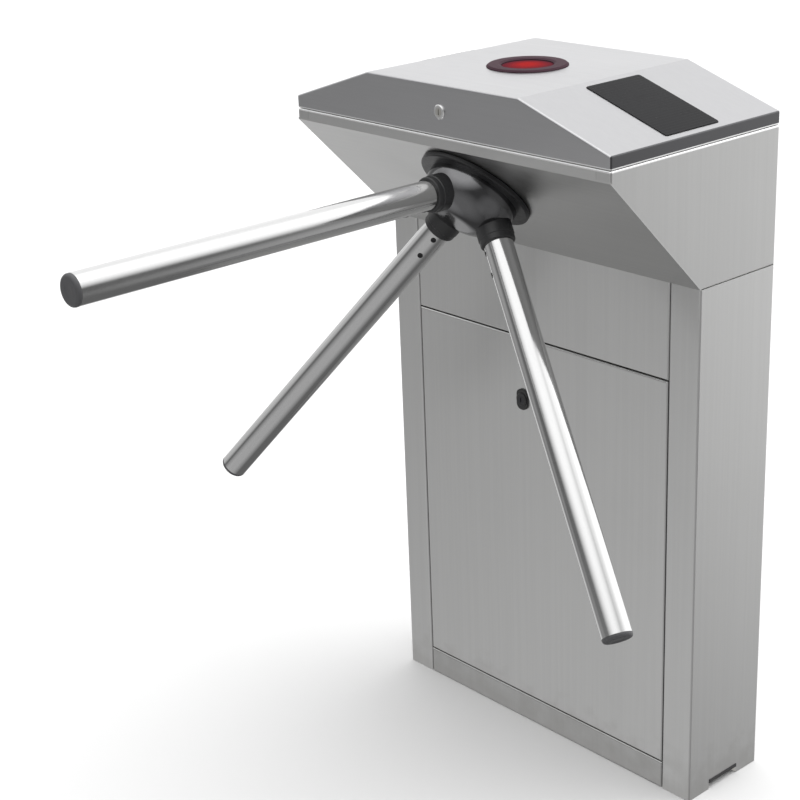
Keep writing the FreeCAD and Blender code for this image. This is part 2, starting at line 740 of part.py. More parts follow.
def hinge_pin():
    """Pin through all the hinge's knuckles."""
    axis_y, axis_z = hinge_axis()
    return Part.makeCylinder(HINGE_PIN_R, HINGE_LENGTH, V(-HINGE_LENGTH / 2, axis_y, axis_z), V(1, 0, 0))


# Cam locks, drawn with Z out of the front face and 0 on that face

def lock_barrel(length, escutcheon):
    """Lock body with its head and nut; the door's also has an oval plate behind the head."""
    plate = ESCUTCHEON if escutcheon else 0.0
    profile = [
        (LOCK_PLUG_R + LOCK_RUNNING, -length), (LOCK_BODY_R, -length), (LOCK_BODY_R, plate),
        (LOCK_HEAD_R, plate), (LOCK_HEAD_R, plate + LOCK_HEAD / 2),
        (LOCK_BODY_R, plate + LOCK_HEAD), (LOCK_PLUG_R + LOCK_RUNNING, plate + LOCK_HEAD),
    ]
    body = turned(profile)
    nut = turned([
        (LOCK_BODY_R, -SHEET - LOCK_NUT), (LOCK_NUT_R, -SHEET - LOCK_NUT), (LOCK_NUT_R, -SHEET),
        (LOCK_BODY_R, -SHEET),
    ])
    pieces = [body, nut]
    if escutcheon:
        half_x = ESCUTCHEON_WIDTH / 2
        half_y = ESCUTCHEON_HEIGHT / 2
        oval = box(-half_x, half_x, -half_y, half_y, 0, plate)
        oval = softened(oval, half_x - SHEET, lambda e: abs(e.tangentAt(0).z) > 0.5)
        pieces.append(oval.cut(rod(LOCK_BODY_R, -OVERRUN, plate + OVERRUN)))
    return joined(pieces)


def lock_cam(length, reach, heading, escutcheon):
    """Turning plug with its keyway and, past the barrel's length, a cam that points along a heading."""
    plate = ESCUTCHEON if escutcheon else 0.0
    face = plate + LOCK_HEAD
    back = -length - CAM_GAP
    plug = rod(LOCK_PLUG_R, back, face)
    keyway = box(
        -LOCK_KEYWAY_WIDTH / 2, LOCK_KEYWAY_WIDTH / 2, -LOCK_KEYWAY_LENGTH / 2, LOCK_KEYWAY_LENGTH / 2,
        face - LOCK_KEYWAY_DEPTH, face + OVERRUN,
    )
    arm = box(-LOCK_BODY_R, reach, -CAM_WIDTH / 2, CAM_WIDTH / 2, back - CAM_THICKNESS, back)
    tip = softened(arm, CAM_WIDTH / 3, lambda e: abs(e.tangentAt(0).z) > 0.5)
    tip.rotate(V(0, 0, 0), V(0, 0, 1), heading)
    return joined([plug.cut(keyway), tip])


def lid_keeper():
    """Bracket inside the lip whose ledge holds the lid's cam down."""
    front = HEAD_FRONT + KEEPER_SETBACK
    back = front + KEEPER_DEPTH
    inner = LID_CAM_LENGTH + KEEPER_CLEARANCE
    outer = inner + SHEET
    start = outer - KEEPER_REACH
    foot_top = SEAM_Z - SHEET
    top = SEAM_Z + KEEPER_RISE
    foot = box(start, outer, HEAD_FRONT + SHEET, back, foot_top - SHEET, foot_top)
    web = box(inner, outer, front, back, foot_top - SHEET, top)
    ledge = box(start, outer, front, back, top - SHEET, top)
    return joined([foot, web, ledge])


# Rotor, drawn in the hub frame

def on_arm(shape, index):
    """Carry a piece drawn along Z to an arm, 45 degrees off the rotor axis."""
    spin = FreeCAD.Rotation(V(0, 0, 1), 360.0 * index / ARM_COUNT)
    lean = FreeCAD.Rotation(V(1, 0, 0), -HUB_CONE)
    return on_hub(moved(shape, FreeCAD.Placement(V(0, 0, -ARM_SET_IN), spin.multiply(lean))))


def hub_flange():
    """Thin brim between the dome and the slanted panel."""
    top = HUB_GAP + HUB_FLANGE
    bore = SHAFT_R + SHAFT_FIT
    return on_hub(turned([
        (bore, HUB_GAP), (HUB_FLANGE_R, HUB_GAP), (HUB_FLANGE_R, top - HUB_FLANGE_EDGE),
        (HUB_FLANGE_R - HUB_FLANGE_EDGE, top), (bore, top),
    ]))


def hub_dome():
    """Cast hub: a round-shouldered dome with a sunk seat and a spigot for each arm, and the shaft's socket."""
    base = HUB_GAP + HUB_FLANGE
    shoulder = HUB_DOME_R - HUB_CROWN_R
    crown = base + HUB_DOME_SIDE + shoulder
    bore = SHAFT_R + SHAFT_FIT
    socket = base + SHAFT_IN_HUB + SHAFT_FIT
    blank = turned([
        (0, socket), (bore, socket), (bore, base), (HUB_DOME_R, base), (HUB_DOME_R, crown), (0, crown),
    ])
    dome = on_hub(softened(blank, shoulder, lambda edge: on_plane(edge, "z", crown)))
    spigot_end = screw_stations()[-1] + SPIGOT_TAIL
    for k in range(ARM_COUNT):
        dome = dome.cut(on_arm(rod(COLLAR_R + RUNNING_GAP, ARM_SEAT, ARM_SEAT + COLLAR_LENGTH), k))
        dome = joined([dome, on_arm(rod(arm_core(), ARM_SEAT - OVERRUN, spigot_end), k)])
    return dome


def arm_collar(index):
    """Black clamp sleeve at the root of an arm."""
    end = ARM_SEAT + COLLAR_LENGTH
    bore = ARM_TUBE_R + ARM_PLAY
    return on_arm(turned([
        (bore, ARM_SEAT), (COLLAR_R, ARM_SEAT), (COLLAR_R, end - COLLAR_CHAMFER),
        (COLLAR_R - COLLAR_CHAMFER, end), (bore, end),
    ]), index)


def screw_stations():
    """Distances of an arm's set screws along its axis."""
    first = ARM_SEAT + COLLAR_LENGTH + SET_SCREW_FIRST
    return [first + k * SET_SCREW_PITCH for k in range(SET_SCREWS_PER_ARM)]


def arm_core():
    """Radius of what slides into an arm's tube."""
    return ARM_TUBE_R - ARM_WALL - ARM_PLAY


def across_arm(radius, y0, y1, station):
    """Round bar square to an arm's axis, on its outer side."""
    return Part.makeCylinder(radius, y1 - y0, V(0, -y0, station), V(0, -1, 0))


def arm_tube(index):
    """Straight stainless tube of an arm, drilled for its set screws."""
    bore = ARM_TUBE_R - ARM_WALL
    end = ARM_REACH - CAP_THICKNESS
    tube = turned([(bore, ARM_SEAT), (ARM_TUBE_R, ARM_SEAT), (ARM_TUBE_R, end), (bore, end)])
    holes = [
        across_arm(SET_SCREW_R + SET_SCREW_PLAY, 0, ARM_TUBE_R + OVERRUN, station)
        for station in screw_stations()
    ]
    return on_arm(tube.cut(holes), index)


def arm_cap(index):
    """Plastic plug in the tube's end with a rounded head."""
    neck = arm_core()
    seat = ARM_REACH - CAP_THICKNESS
    plug = turned([
        (0, seat - CAP_PLUG), (neck, seat - CAP_PLUG), (neck, seat), (ARM_TUBE_R, seat),
        (ARM_TUBE_R, ARM_REACH), (0, ARM_REACH),
    ])
    rim = [e for e in plug.Edges if on_plane(e, "z", ARM_REACH) and e.Length > ARM_TUBE_R]
    return on_arm(plug.makeFillet(CAP_ROUND, rim), index)


def arm_screws():
    """Set screws that clamp each tube to its spigot, in a row past its collar."""
    screws = []
    for arm in range(ARM_COUNT):
        for station in screw_stations():
            shank = across_arm(SET_SCREW_R, arm_core(), ARM_TUBE_R + SET_SCREW_PROUD, station)
            head = across_arm(SET_SCREW_HEAD_R, ARM_TUBE_R, ARM_TUBE_R + SET_SCREW_PROUD, station)
            screws.append(on_arm(joined([shank, head]), arm))
    return screws


def main_shaft():
    """Rotor shaft with the collar that runs on the front bearing."""
    return on_hub(turned([
        (0, HUB_GAP + HUB_FLANGE + SHAFT_IN_HUB), (0, NUT_BACK - SHAFT_TAIL),
        (SHAFT_R, NUT_BACK - SHAFT_TAIL), (SHAFT_R, BEARING_FRONT + RUNNING_GAP),
        (SHAFT_COLLAR_R, BEARING_FRONT + RUNNING_GAP), (SHAFT_COLLAR_R, HUB_GAP), (SHAFT_R, HUB_GAP),
        (SHAFT_R, HUB_GAP + HUB_FLANGE + SHAFT_IN_HUB),
    ]))


def involute(angle):
    """Involute function of a pressure angle."""
    return math.tan(angle) - angle


def gear_outline(teeth, phase):
    """Corner points of a spur gear: chords along involute flanks, tooth 0 centred on the phase angle."""
    pitch_r = GEAR_MODULE * teeth / 2
    base_r = pitch_r * math.cos(PRESSURE_ANGLE)
    root_r = pitch_r - 1.25 * GEAR_MODULE
    tip_r = pitch_r + GEAR_MODULE
    half_tooth = math.pi / (2 * teeth) - GEAR_BACKLASH / (2 * pitch_r)
    start_r = max(base_r, root_r)
    radii = [start_r, (start_r + pitch_r) / 2, pitch_r, (pitch_r + tip_r) / 2, tip_r]
    flank = []
    for r in radii:
        spread = half_tooth + involute(PRESSURE_ANGLE) - involute(math.acos(min(1.0, base_r / r)))
        flank.append((r, spread))
    if root_r < base_r:
        flank.insert(0, (root_r, flank[0][1]))
    corners = []
    for k in range(teeth):
        middle = math.radians(phase) + 2 * math.pi * k / teeth
        for r, spread in flank:
            corners.append(V(r * math.cos(middle - spread), r * math.sin(middle - spread), 0))
        for r, spread in reversed(flank):
            corners.append(V(r * math.cos(middle + spread), r * math.sin(middle + spread), 0))
    return corners


def gear_blank(teeth, phase, z0, z1):
    """Toothed disc between two heights, in either order."""
    low, high = sorted((z0, z1))
    corners = [V(p.x, p.y, low) for p in gear_outline(teeth, phase)]
    return prism(corners, V(0, 0, high - low))


def around(shape, count):
    """Copies of a piece spread evenly round the Z axis."""
    copies = []
    for k in range(count):
        copy = shape.copy()
        copy.rotate(V(0, 0, 0), V(0, 0, 1), 360.0 * k / count)
        copies.append(copy)
    return copies


def main_gear():
    """Index gear on the shaft, drilled to save weight."""
    blank = gear_blank(GEAR_TEETH, 0.0, GEAR_FRONT, GEAR_BACK)
    boss = rod(GEAR_BOSS_R, GEAR_FRONT + GEAR_BOSS, GEAR_FRONT)
    hole = rod(GEAR_HOLE_R, GEAR_FRONT + OVERRUN, GEAR_BACK - OVERRUN, GEAR_HOLE_PITCH_R)
    bore = rod(SHAFT_R + SHAFT_FIT, GEAR_FRONT + GEAR_BOSS + OVERRUN, GEAR_BACK - OVERRUN)
    return on_hub(joined([blank, boss]).cut(around(hole, GEAR_HOLES) + [bore]))


def lock_wheel():
    """Notched wheel that the pawls lock, with a spacer boss on each side."""
    disc = rod(LOCK_WHEEL_R, WHEEL_FRONT, WHEEL_BACK)
    front_boss = rod(GEAR_BOSS_R, GEAR_BACK, WHEEL_FRONT)
    rear_boss = rod(ENCODER_SPACER_R, WHEEL_BACK, ENCODER_FRONT)
    notch = box(
        LOCK_WHEEL_R - LOCK_NOTCH_DEPTH, LOCK_WHEEL_R + OVERRUN,
        -LOCK_NOTCH_WIDTH / 2, LOCK_NOTCH_WIDTH / 2, WHEEL_BACK - OVERRUN, WHEEL_FRONT + OVERRUN,
    )
    bore = rod(SHAFT_R + SHAFT_FIT, GEAR_BACK + OVERRUN, ENCODER_FRONT - OVERRUN)
    return on_hub(joined([disc, front_boss, rear_boss]).cut(around(notch, LOCK_NOTCHES) + [bore]))


def encoder_disc():
    """Thin slotted disc that the position sensor reads."""
    disc = rod(ENCODER_R, ENCODER_FRONT, ENCODER_BACK)
    outer = ENCODER_R - ENCODER_RIM
    slot = box(
        outer - ENCODER_SLOT_LENGTH, outer, -ENCODER_SLOT_WIDTH / 2, ENCODER_SLOT_WIDTH / 2,
        ENCODER_BACK - OVERRUN, ENCODER_FRONT + OVERRUN,
    )
    bore = rod(SHAFT_R + SHAFT_FIT, ENCODER_FRONT + OVERRUN, ENCODER_BACK - OVERRUN)
    return on_hub(disc.cut(around(slot, ENCODER_SLOTS) + [bore]))


def shaft_nut():
    """Hexagon nut that clamps the wheels on the shaft."""
    corner = SHAFT_NUT_FLATS / math.sqrt(3)
    points = [
        V(corner * math.cos(math.pi * k / 3), corner * math.sin(math.pi * k / 3), NUT_BACK)
        for k in range(6)
    ]
    nut = prism(points, V(0, 0, SHAFT_NUT))
    return on_hub(nut.cut(rod(SHAFT_R + SHAFT_FIT, NUT_BACK - OVERRUN, ENCODER_BACK + OVERRUN)))


# Mechanism carrier, drawn in the hub frame

def standoff_places():
    """Centres of the four spacers between the slanted panel and the mechanism plate."""
    half = STANDOFF_SPACING_X / 2
    return [(x, y) for x in (-half, half) for y in (STANDOFF_UPPER, -STANDOFF_LOWER)]


def damper_place():
    """Centre of the damper, round the main gear from the crank."""
    angle = math.radians(DAMPER_ANGLE)
    return GEAR_CENTRES * math.cos(angle), GEAR_CENTRES * math.sin(angle)


def mechanism_plate():
    """Steel plate that carries the bearing housing, the solenoids, the damper and the crank."""
    half = PLATE_WIDTH / 2
    half_foot = PLATE_FOOT_WIDTH / 2
    outline = [
        (-half, PLATE_TOP), (-half, -PLATE_WAIST), (-half_foot, -PLATE_WAIST), (-half_foot, PLATE_FOOT),
        (half_foot, PLATE_FOOT), (half_foot, -PLATE_WAIST), (half, -PLATE_WAIST), (half, PLATE_TOP),
    ]
    plate = prism([V(x, y, PLATE_BACK) for x, y in outline], V(0, 0, PLATE))
    plate = softened(plate, PLATE_CORNER, lambda e: abs(e.tangentAt(0).z) > 0.5)
    holes = [
        rod(HUB_HOLE_R, PLATE_BACK - OVERRUN, PLATE_FACE + OVERRUN),
        rod(INDEX_BUSH_R, PLATE_BACK - OVERRUN, PLATE_FACE + OVERRUN, 0, -GEAR_CENTRES),
    ]
    return on_hub(plate.cut(holes))


def bearing_housing():
    """Flanged housing with a seat for a bearing at each end and a shoulder between them."""
    end = BEARING_END
    shoulder_front = BEARING_FRONT - BEARING_WIDTH
    return on_hub(turned([
        (BEARING_R, PLATE_BACK), (HOUSING_FLANGE_R, PLATE_BACK),
        (HOUSING_FLANGE_R, PLATE_BACK - HOUSING_FLANGE), (HOUSING_R, PLATE_BACK - HOUSING_FLANGE),
        (HOUSING_R, end), (BEARING_R, end), (BEARING_R, BEARING_REAR), (HOUSING_SHOULDER_R, BEARING_REAR),
        (HOUSING_SHOULDER_R, shoulder_front), (BEARING_R, shoulder_front),
    ]))


def shaft_bearing(front):
    """Shielded ball bearing whose face is at a station on the rotor axis."""
    back = front - BEARING_WIDTH
    bore = SHAFT_R + SHAFT_FIT
    inner = bore + BEARING_RACE
    outer = BEARING_R - BEARING_RACE
    return on_hub(turned([
        (bore, front), (inner, front), (inner, front - BEARING_SHIELD), (outer, front - BEARING_SHIELD),
        (outer, front), (BEARING_R, front), (BEARING_R, back), (outer, back),
        (outer, back + BEARING_SHIELD), (inner, back + BEARING_SHIELD), (inner, back), (bore, back),
    ]))


def mechanism_posts():
    """Spacers in front of the plate, and behind it the pawls', the spring's and the sensor's posts."""
    posts = [rod(STANDOFF_R, PLATE_FACE, -SHEET, x, y) for x, y in standoff_places()]
    for x in (-PAWL_PIVOT_X, PAWL_PIVOT_X):
        foot = rod(PAWL_BOSS_R, PLATE_BACK, PAWL_FRONT + RUNNING_GAP, x, PAWL_PIVOT_Y)
        pin = rod(PAWL_POST_R, PAWL_FRONT + RUNNING_GAP, PAWL_BACK - OVERRUN, x, PAWL_PIVOT_Y)
        posts.append(joined([foot, pin]))
    posts.append(rod(SPRING_POST_R, PLATE_BACK, CRANK_BACK - CRANK_PIN, 0, SPRING_POST_Y))
    posts.append(rod(SENSOR_POST_R, PLATE_BACK, sensor_back(), 0, sensor_post_y()))
    return [on_hub(post) for post in posts]


# Self-centring crank

def index_bush():
    """Flanged bush for the crank's shaft."""
    bore = INDEX_SHAFT_R + INDEX_FIT
    bush = turned([
        (bore, PLATE_FACE), (INDEX_BUSH_R, PLATE_FACE), (INDEX_BUSH_R, PLATE_BACK),
        (INDEX_BUSH_FLANGE_R, PLATE_BACK), (INDEX_BUSH_FLANGE_R, PLATE_BACK - INDEX_BUSH_FLANGE),
        (INDEX_BUSH_R, PLATE_BACK - INDEX_BUSH_FLANGE), (INDEX_BUSH_R, PLATE_FACE - INDEX_BUSH_LENGTH),
        (bore, PLATE_FACE - INDEX_BUSH_LENGTH),
    ])
    bush.translate(V(0, -GEAR_CENTRES, 0))
    return on_hub(bush)


def index_crank():
    """Crank disc and pin on a shaft that the main gear turns three times a turn."""
    shaft = rod(INDEX_SHAFT_R, PLATE_FACE, CRANK_FRONT, 0, -GEAR_CENTRES)
    disc = rod(CRANK_R, CRANK_FRONT, CRANK_BACK, 0, -GEAR_CENTRES)
    pin = rod(CRANK_PIN_R, CRANK_BACK, CRANK_BACK - CRANK_PIN, 0, SPRING_TOP_Y)
    return on_hub(joined([shaft, disc, pin]))


def pinion(x, y, angle, bore):
    """Pinion in mesh with the main gear, seen from the gear at an angle that faces one of its teeth."""
    half_step = 180.0 / PINION_TEETH
    wheel = gear_blank(PINION_TEETH, angle + 180.0 + half_step, GEAR_FRONT, GEAR_BACK)
    if bore:
        wheel = wheel.cut(rod(bore, GEAR_FRONT + OVERRUN, GEAR_BACK - OVERRUN))
    wheel.translate(V(x, y, 0))
    return wheel


def index_pinion():
    """Pinion on the crank's shaft."""
    return on_hub(pinion(0, -GEAR_CENTRES, -90.0, INDEX_SHAFT_R + INDEX_FIT))


def tangent_arc(start, heading, end):
    """Arc from a point with a given heading to another point."""
    chord = end - start
    along = V(chord).normalize()
    aside = heading - along * heading.dot(along)
    bend = math.acos(max(-1.0, min(1.0, heading.dot(along))))
    middle = start + chord * 0.5 + aside.normalize() * (chord.Length / 2 * math.tan(bend / 2))
    return Part.Arc(start, middle, end).toShape()


def spring_point(turn):
    """Point on the spring's centre line about Z after a number of turns."""
    angle = 2 * math.pi * turn
    return V(SPRING_R * math.cos(angle), SPRING_R * math.sin(angle), SPRING_PITCH * turn)


def spring_heading(turn):
    """Direction of the spring's centre line there."""
    angle = 2 * math.pi * turn
    around_z = 2 * math.pi * SPRING_R
    return V(-around_z * math.sin(angle), around_z * math.cos(angle), SPRING_PITCH).normalize()


def least_gap(path):
    """Least clear gap between stretches of the spring's wire that lie half a turn or more apart along it."""
    points = path.discretize(Number=SPRING_TURNS * SPRING_SAMPLES)
    apart = SPRING_SAMPLES // 2
    nearest = min((q - p).Length for k, p in enumerate(points) for q in points[k + apart:])
    return nearest - 2 * SPRING_WIRE_R


def spring_coil():
    """Coil of the centring spring about Z: one tube along pairs of tangent arcs, with straight ends."""
    steps_per_turn = 4
    start, end = spring_point(0), spring_point(SPRING_TURNS)
    lead_in = start - spring_heading(0) * (2 * SPRING_WIRE_R)
    lead_out = end + spring_heading(SPRING_TURNS) * (2 * SPRING_WIRE_R)
    edges = [Part.makeLine(lead_in, start), Part.makeLine(end, lead_out)]
    for k in range(SPRING_TURNS * steps_per_turn):
        t0, t1 = k / steps_per_turn, (k + 1) / steps_per_turn
        p0, p1 = spring_point(t0), spring_point(t1)
        h0, h1 = spring_heading(t0), spring_heading(t1)
        span = p1 - p0
        total = h0 + h1
        lean = 2 * (1 - h0.dot(h1))
        reach = (math.sqrt(span.dot(total) ** 2 + lean * span.dot(span)) - span.dot(total)) / lean
        middle = (p0 + p1 + (h0 - h1) * reach) * 0.5
        edges.append(tangent_arc(p0, h0, middle))
        edges.append(tangent_arc(p1, h1 * -1, middle))
    path = Part.Wire(Part.sortEdges(edges)[0])
    print("least gap of the spring's wire to itself: %.2f mm" % least_gap(path))
    section = Part.Wire(Part.makeCircle(SPRING_WIRE_R, lead_in, spring_heading(0)))
    return path.makePipeShell([section], True, False)


def spring_eye(coil_end, pin_y, pin_r):
    """Plug inside one end of the coil with a flat eye that hangs on a pin."""
    way = 1 if pin_y > coil_end else -1
    plug_r = SPRING_R - SPRING_WIRE_R - SPRING_PLUG_GAP
    plug = Part.makeCylinder(plug_r, SPRING_PLUG, V(0, coil_end, 0), V(0, -way, 0))
    low, high = sorted((coil_end, pin_y))
    tab = box(-plug_r / 2, plug_r / 2, low, high, -SPRING_EYE / 2, SPRING_EYE / 2)
    eye = rod(SPRING_EYE_R, -SPRING_EYE / 2, SPRING_EYE / 2, 0, pin_y)
    hole = rod(pin_r + SPRING_PLUG_GAP, -SPRING_EYE, SPRING_EYE, 0, pin_y)
    return joined([plug, tab, eye]).cut(hole)


def index_spring():
    """Tension spring from the crank's pin to its post, with an eye at each end."""
    length = SPRING_TURNS * SPRING_PITCH
    middle = (SPRING_TOP_Y + SPRING_POST_Y) / 2
    coil = spring_coil()
    along_y = FreeCAD.Placement(V(0, middle + length / 2, 0), FreeCAD.Rotation(V(1, 0, 0), 90))
    pieces = [
        moved(coil, along_y),
        spring_eye(middle + length / 2, SPRING_TOP_Y, CRANK_PIN_R),
        spring_eye(middle - length / 2, SPRING_POST_Y, SPRING_POST_R),
    ]
    level = FreeCAD.Placement(V(0, 0, SPRING_LEVEL), FreeCAD.Rotation())
    return [on_hub(moved(piece, level)) for piece in pieces]


# Damper

def damper_body():
    """Rotary damper on the plate, with an ear on each side."""
    x, y = damper_place()
    back = PLATE_BACK - DAMPER_DEPTH
    half = DAMPER_EAR_SPAN / 2
    drum = rod(DAMPER_R, PLATE_BACK, back, x, y)
    bar = box(x - DAMPER_EAR_R, x + DAMPER_EAR_R, y - half, y + half, PLATE_BACK - DAMPER_EAR, PLATE_BACK)
    ears = [rod(DAMPER_EAR_R, PLATE_BACK, PLATE_BACK - DAMPER_EAR, x, y + s * half) for s in (-1, 1)]
    bore = rod(DAMPER_SHAFT_R + INDEX_FIT, back - OVERRUN, back + DAMPER_DEPTH / 2, x, y)
    return on_hub(joined([drum, bar] + ears).cut(bore))


def damper_pinion():
    """Pinion and shaft of the damper, in mesh with the main gear."""
    x, y = damper_place()
    wheel = pinion(x, y, DAMPER_ANGLE, 0)
    shaft = rod(DAMPER_SHAFT_R, GEAR_BACK, PLATE_BACK - DAMPER_DEPTH / 2 - OVERRUN, x, y)
    return on_hub(joined([wheel, shaft]))


# Locking pawls, drawn for the left side

def left_pawl():
    """Lever with a nose for the lock wheel and a slotted tail for the plunger."""
    x, y = -PAWL_PIVOT_X, PAWL_PIVOT_Y
    tip_x = -LOCK_WHEEL_R - PAWL_NOSE_GAP
    root_x = -LOCK_WHEEL_R - PAWL_ARM_INSET
    low = -PAWL_NOSE_DROP
    high = PAWL_NOSE - PAWL_NOSE_DROP
    arm = [
        (x - PAWL_ARM_WIDTH / 2, y), (root_x - PAWL_ARM_WIDTH, low), (tip_x, low), (tip_x, high),
        (root_x, high), (root_x, y),
    ]
    lever = prism([V(px, py, PAWL_BACK) for px, py in arm], V(0, 0, PAWL))
    boss = rod(PAWL_BOSS_R, PAWL_BACK, PAWL_FRONT, x, y)
    half_tail = PAWL_TAIL_WIDTH / 2
    tail = box(-TAIL_X - PAWL_TAIL_END, x, y - half_tail, y + half_tail, PAWL_BACK, PAWL_FRONT)
    slot_r = PAWL_PIN_R + PAWL_PIN_PLAY
    slide = [
        rod(slot_r, PAWL_BACK - OVERRUN, PAWL_FRONT + OVERRUN, -TAIL_X + s * PAWL_PIN_SLIDE, y)
        for s in (-1, 1)
    ]
    slide.append(box(
        -TAIL_X - PAWL_PIN_SLIDE, -TAIL_X + PAWL_PIN_SLIDE, y - slot_r, y + slot_r,
        PAWL_BACK - OVERRUN, PAWL_FRONT + OVERRUN,
    ))
    bore = rod(PAWL_POST_R + PAWL_FIT, PAWL_BACK - OVERRUN, PAWL_FRONT + OVERRUN, x, y)
    return on_hub(joined([lever, boss, tail]).cut(slide + [bore]))


def along_slope(radius, y0, y1, x):
    """Round bar along the hub frame's Y at the pawls' level."""
    return Part.makeCylinder(radius, y1 - y0, V(x, y0, WHEEL_MIDDLE), V(0, 1, 0))


def left_solenoid():
    """Solenoid with its plunger bore, on a folded foot that stands on the plate."""
    x0, x1 = -TAIL_X - SOLENOID_WIDTH / 2, -TAIL_X + SOLENOID_WIDTH / 2
    y0, y1 = SOLENOID_TOP - SOLENOID_LENGTH, SOLENOID_TOP
    z0, z1 = WHEEL_MIDDLE - SOLENOID_DEPTH / 2, WHEEL_MIDDLE + SOLENOID_DEPTH / 2
    coil = softened(box(x0, x1, y0, y1, z0, z1), BEND, lambda e: abs(e.tangentAt(0).y) > 0.5)
    web = box(x0, x0 + SOLENOID_FOOT, y0, y1, WHEEL_MIDDLE, PLATE_BACK)
    foot = box(x0, x0 + SOLENOID_FOOT_LENGTH, y0, y1, PLATE_BACK - SOLENOID_FOOT, PLATE_BACK)
    bore = along_slope(PLUNGER_R + PLUNGER_PLAY, y0 + SOLENOID_FLOOR, y1 + OVERRUN, -TAIL_X)
    return on_hub(joined([coil, web, foot]).cut(bore))


def left_plunger():
    """Plunger with a clevis and pin that straddle the pawl's tail."""
    bottom = SOLENOID_TOP - SOLENOID_LENGTH + SOLENOID_FLOOR + PLUNGER_TRAVEL_ROOM
    top = PAWL_PIVOT_Y - PAWL_TAIL_WIDTH / 2 - PLUNGER_TOP_GAP
    stem = along_slope(PLUNGER_R, bottom, top, -TAIL_X)
    inner = PAWL / 2 + CLEVIS_PLAY
    outer = inner + CLEVIS_CHEEK
    cheek_top = PAWL_PIVOT_Y + CLEVIS_END
    pieces = [stem]
    for side in (-1, 1):
        z0, z1 = sorted((WHEEL_MIDDLE + side * inner, WHEEL_MIDDLE + side * outer))
        cheek = box(-TAIL_X - PLUNGER_R, -TAIL_X + PLUNGER_R, top - CLEVIS_END, cheek_top, z0, z1)
        pieces.append(cheek)
    pieces.append(rod(PAWL_PIN_R, WHEEL_MIDDLE - outer, WHEEL_MIDDLE + outer, -TAIL_X, PAWL_PIVOT_Y))
    return on_hub(joined(pieces))


# Position sensor

def sensor_back():
    """Station of the sensor bracket's face, behind the encoder disc."""
    return (ENCODER_FRONT + ENCODER_BACK) / 2 - SENSOR_SLOT / 2 - SENSOR_BACK


def sensor_post_y():
    """Place of the sensor's post, clear of the main gear."""
    return GEAR_TIP_R + SENSOR_POST_R + SENSOR_POST_GAP


def position_sensor():
    """Fork that straddles the encoder disc's rim."""
    middle = (ENCODER_FRONT + ENCODER_BACK) / 2
    inner = ENCODER_R - SENSOR_REACH
    outer = ENCODER_R + SENSOR_OVERHANG
    front = middle + SENSOR_SLOT / 2 + SENSOR_PRONG
    body = box(-SENSOR_WIDTH / 2, SENSOR_WIDTH / 2, inner, outer, sensor_back(), front)
    slot = box(
        -SENSOR_WIDTH, SENSOR_WIDTH, inner - OVERRUN, ENCODER_R + OVERRUN,
        middle - SENSOR_SLOT / 2, middle + SENSOR_SLOT / 2,
    )
    return on_hub(body.cut(slot))


def sensor_bracket():
    """Arm from the post to the fork."""
    half = SENSOR_WIDTH / 2
    top = sensor_post_y() + SENSOR_ARM_END
    arm = box(-half, half, ENCODER_R - SENSOR_REACH, top, sensor_back() - SENSOR_ARM, sensor_back())
    return on_hub(softened(arm, half / 2, lambda e: abs(e.tangentAt(0).z) > 0.5))


# Electronics on the rear panels

def control_board():
    """Circuit board on spacers with rows of terminals and relays."""
    wall = HALF_DEPTH - SHEET
    face = wall - BOARD_STANDOFF
    z0 = COLUMN_HEIGHT + BOARD_BASE
    pieces = [box(-BOARD_WIDTH / 2, BOARD_WIDTH / 2, face - BOARD, face, z0, z0 + BOARD_HEIGHT)]
    for x in (BOARD_EDGE - BOARD_WIDTH / 2, BOARD_WIDTH / 2 - BOARD_EDGE):
        for z in (z0 + BOARD_EDGE, z0 + BOARD_HEIGHT - BOARD_EDGE):
            pieces.append(Part.makeCylinder(BOARD_STANDOFF_R, BOARD_STANDOFF, V(x, face, z), V(0, 1, 0)))
    for k in range(TERMINALS):
        x = (k - (TERMINALS - 1) / 2) * TERMINAL_PITCH
        pieces.append(box(
            x - TERMINAL_WIDTH / 2, x + TERMINAL_WIDTH / 2, face - BOARD - TERMINAL_HEIGHT, face - BOARD,
            z0 + BOARD_EDGE / 2, z0 + BOARD_EDGE / 2 + TERMINAL_HEIGHT,
        ))
    for k in range(RELAYS):
        x = (k - (RELAYS - 1) / 2) * RELAY_PITCH
        pieces.append(box(
            x - RELAY_WIDTH / 2, x + RELAY_WIDTH / 2, face - BOARD - RELAY_HEIGHT, face - BOARD,
            z0 + BOARD_HEIGHT / 2, z0 + BOARD_HEIGHT / 2 + RELAY_WIDTH,
        ))
    return joined(pieces)


def power_supply():
    """Closed metal supply low on the rear panel, slotted for air."""
    wall = HALF_DEPTH - SHEET
    front = wall - SUPPLY_DEPTH
    half = SUPPLY_WIDTH / 2
    case = box(-half, half, front, wall, SUPPLY_BASE, SUPPLY_BASE + SUPPLY_HEIGHT)
    case = softened(case, BEND, lambda e: on_plane(e, "y", front))
    z0 = SUPPLY_BASE + (SUPPLY_HEIGHT - SUPPLY_VENT_HEIGHT) / 2
    vents = []
    for k in range(SUPPLY_VENTS):
        x = (k - (SUPPLY_VENTS - 1) / 2) * SUPPLY_VENT_PITCH
        vents.append(box(
            x - SUPPLY_VENT_WIDTH / 2, x + SUPPLY_VENT_WIDTH / 2, front - OVERRUN, front + SUPPLY_VENT_DEPTH,
            z0, z0 + SUPPLY_VENT_HEIGHT,
        ))
    return case.cut(vents)


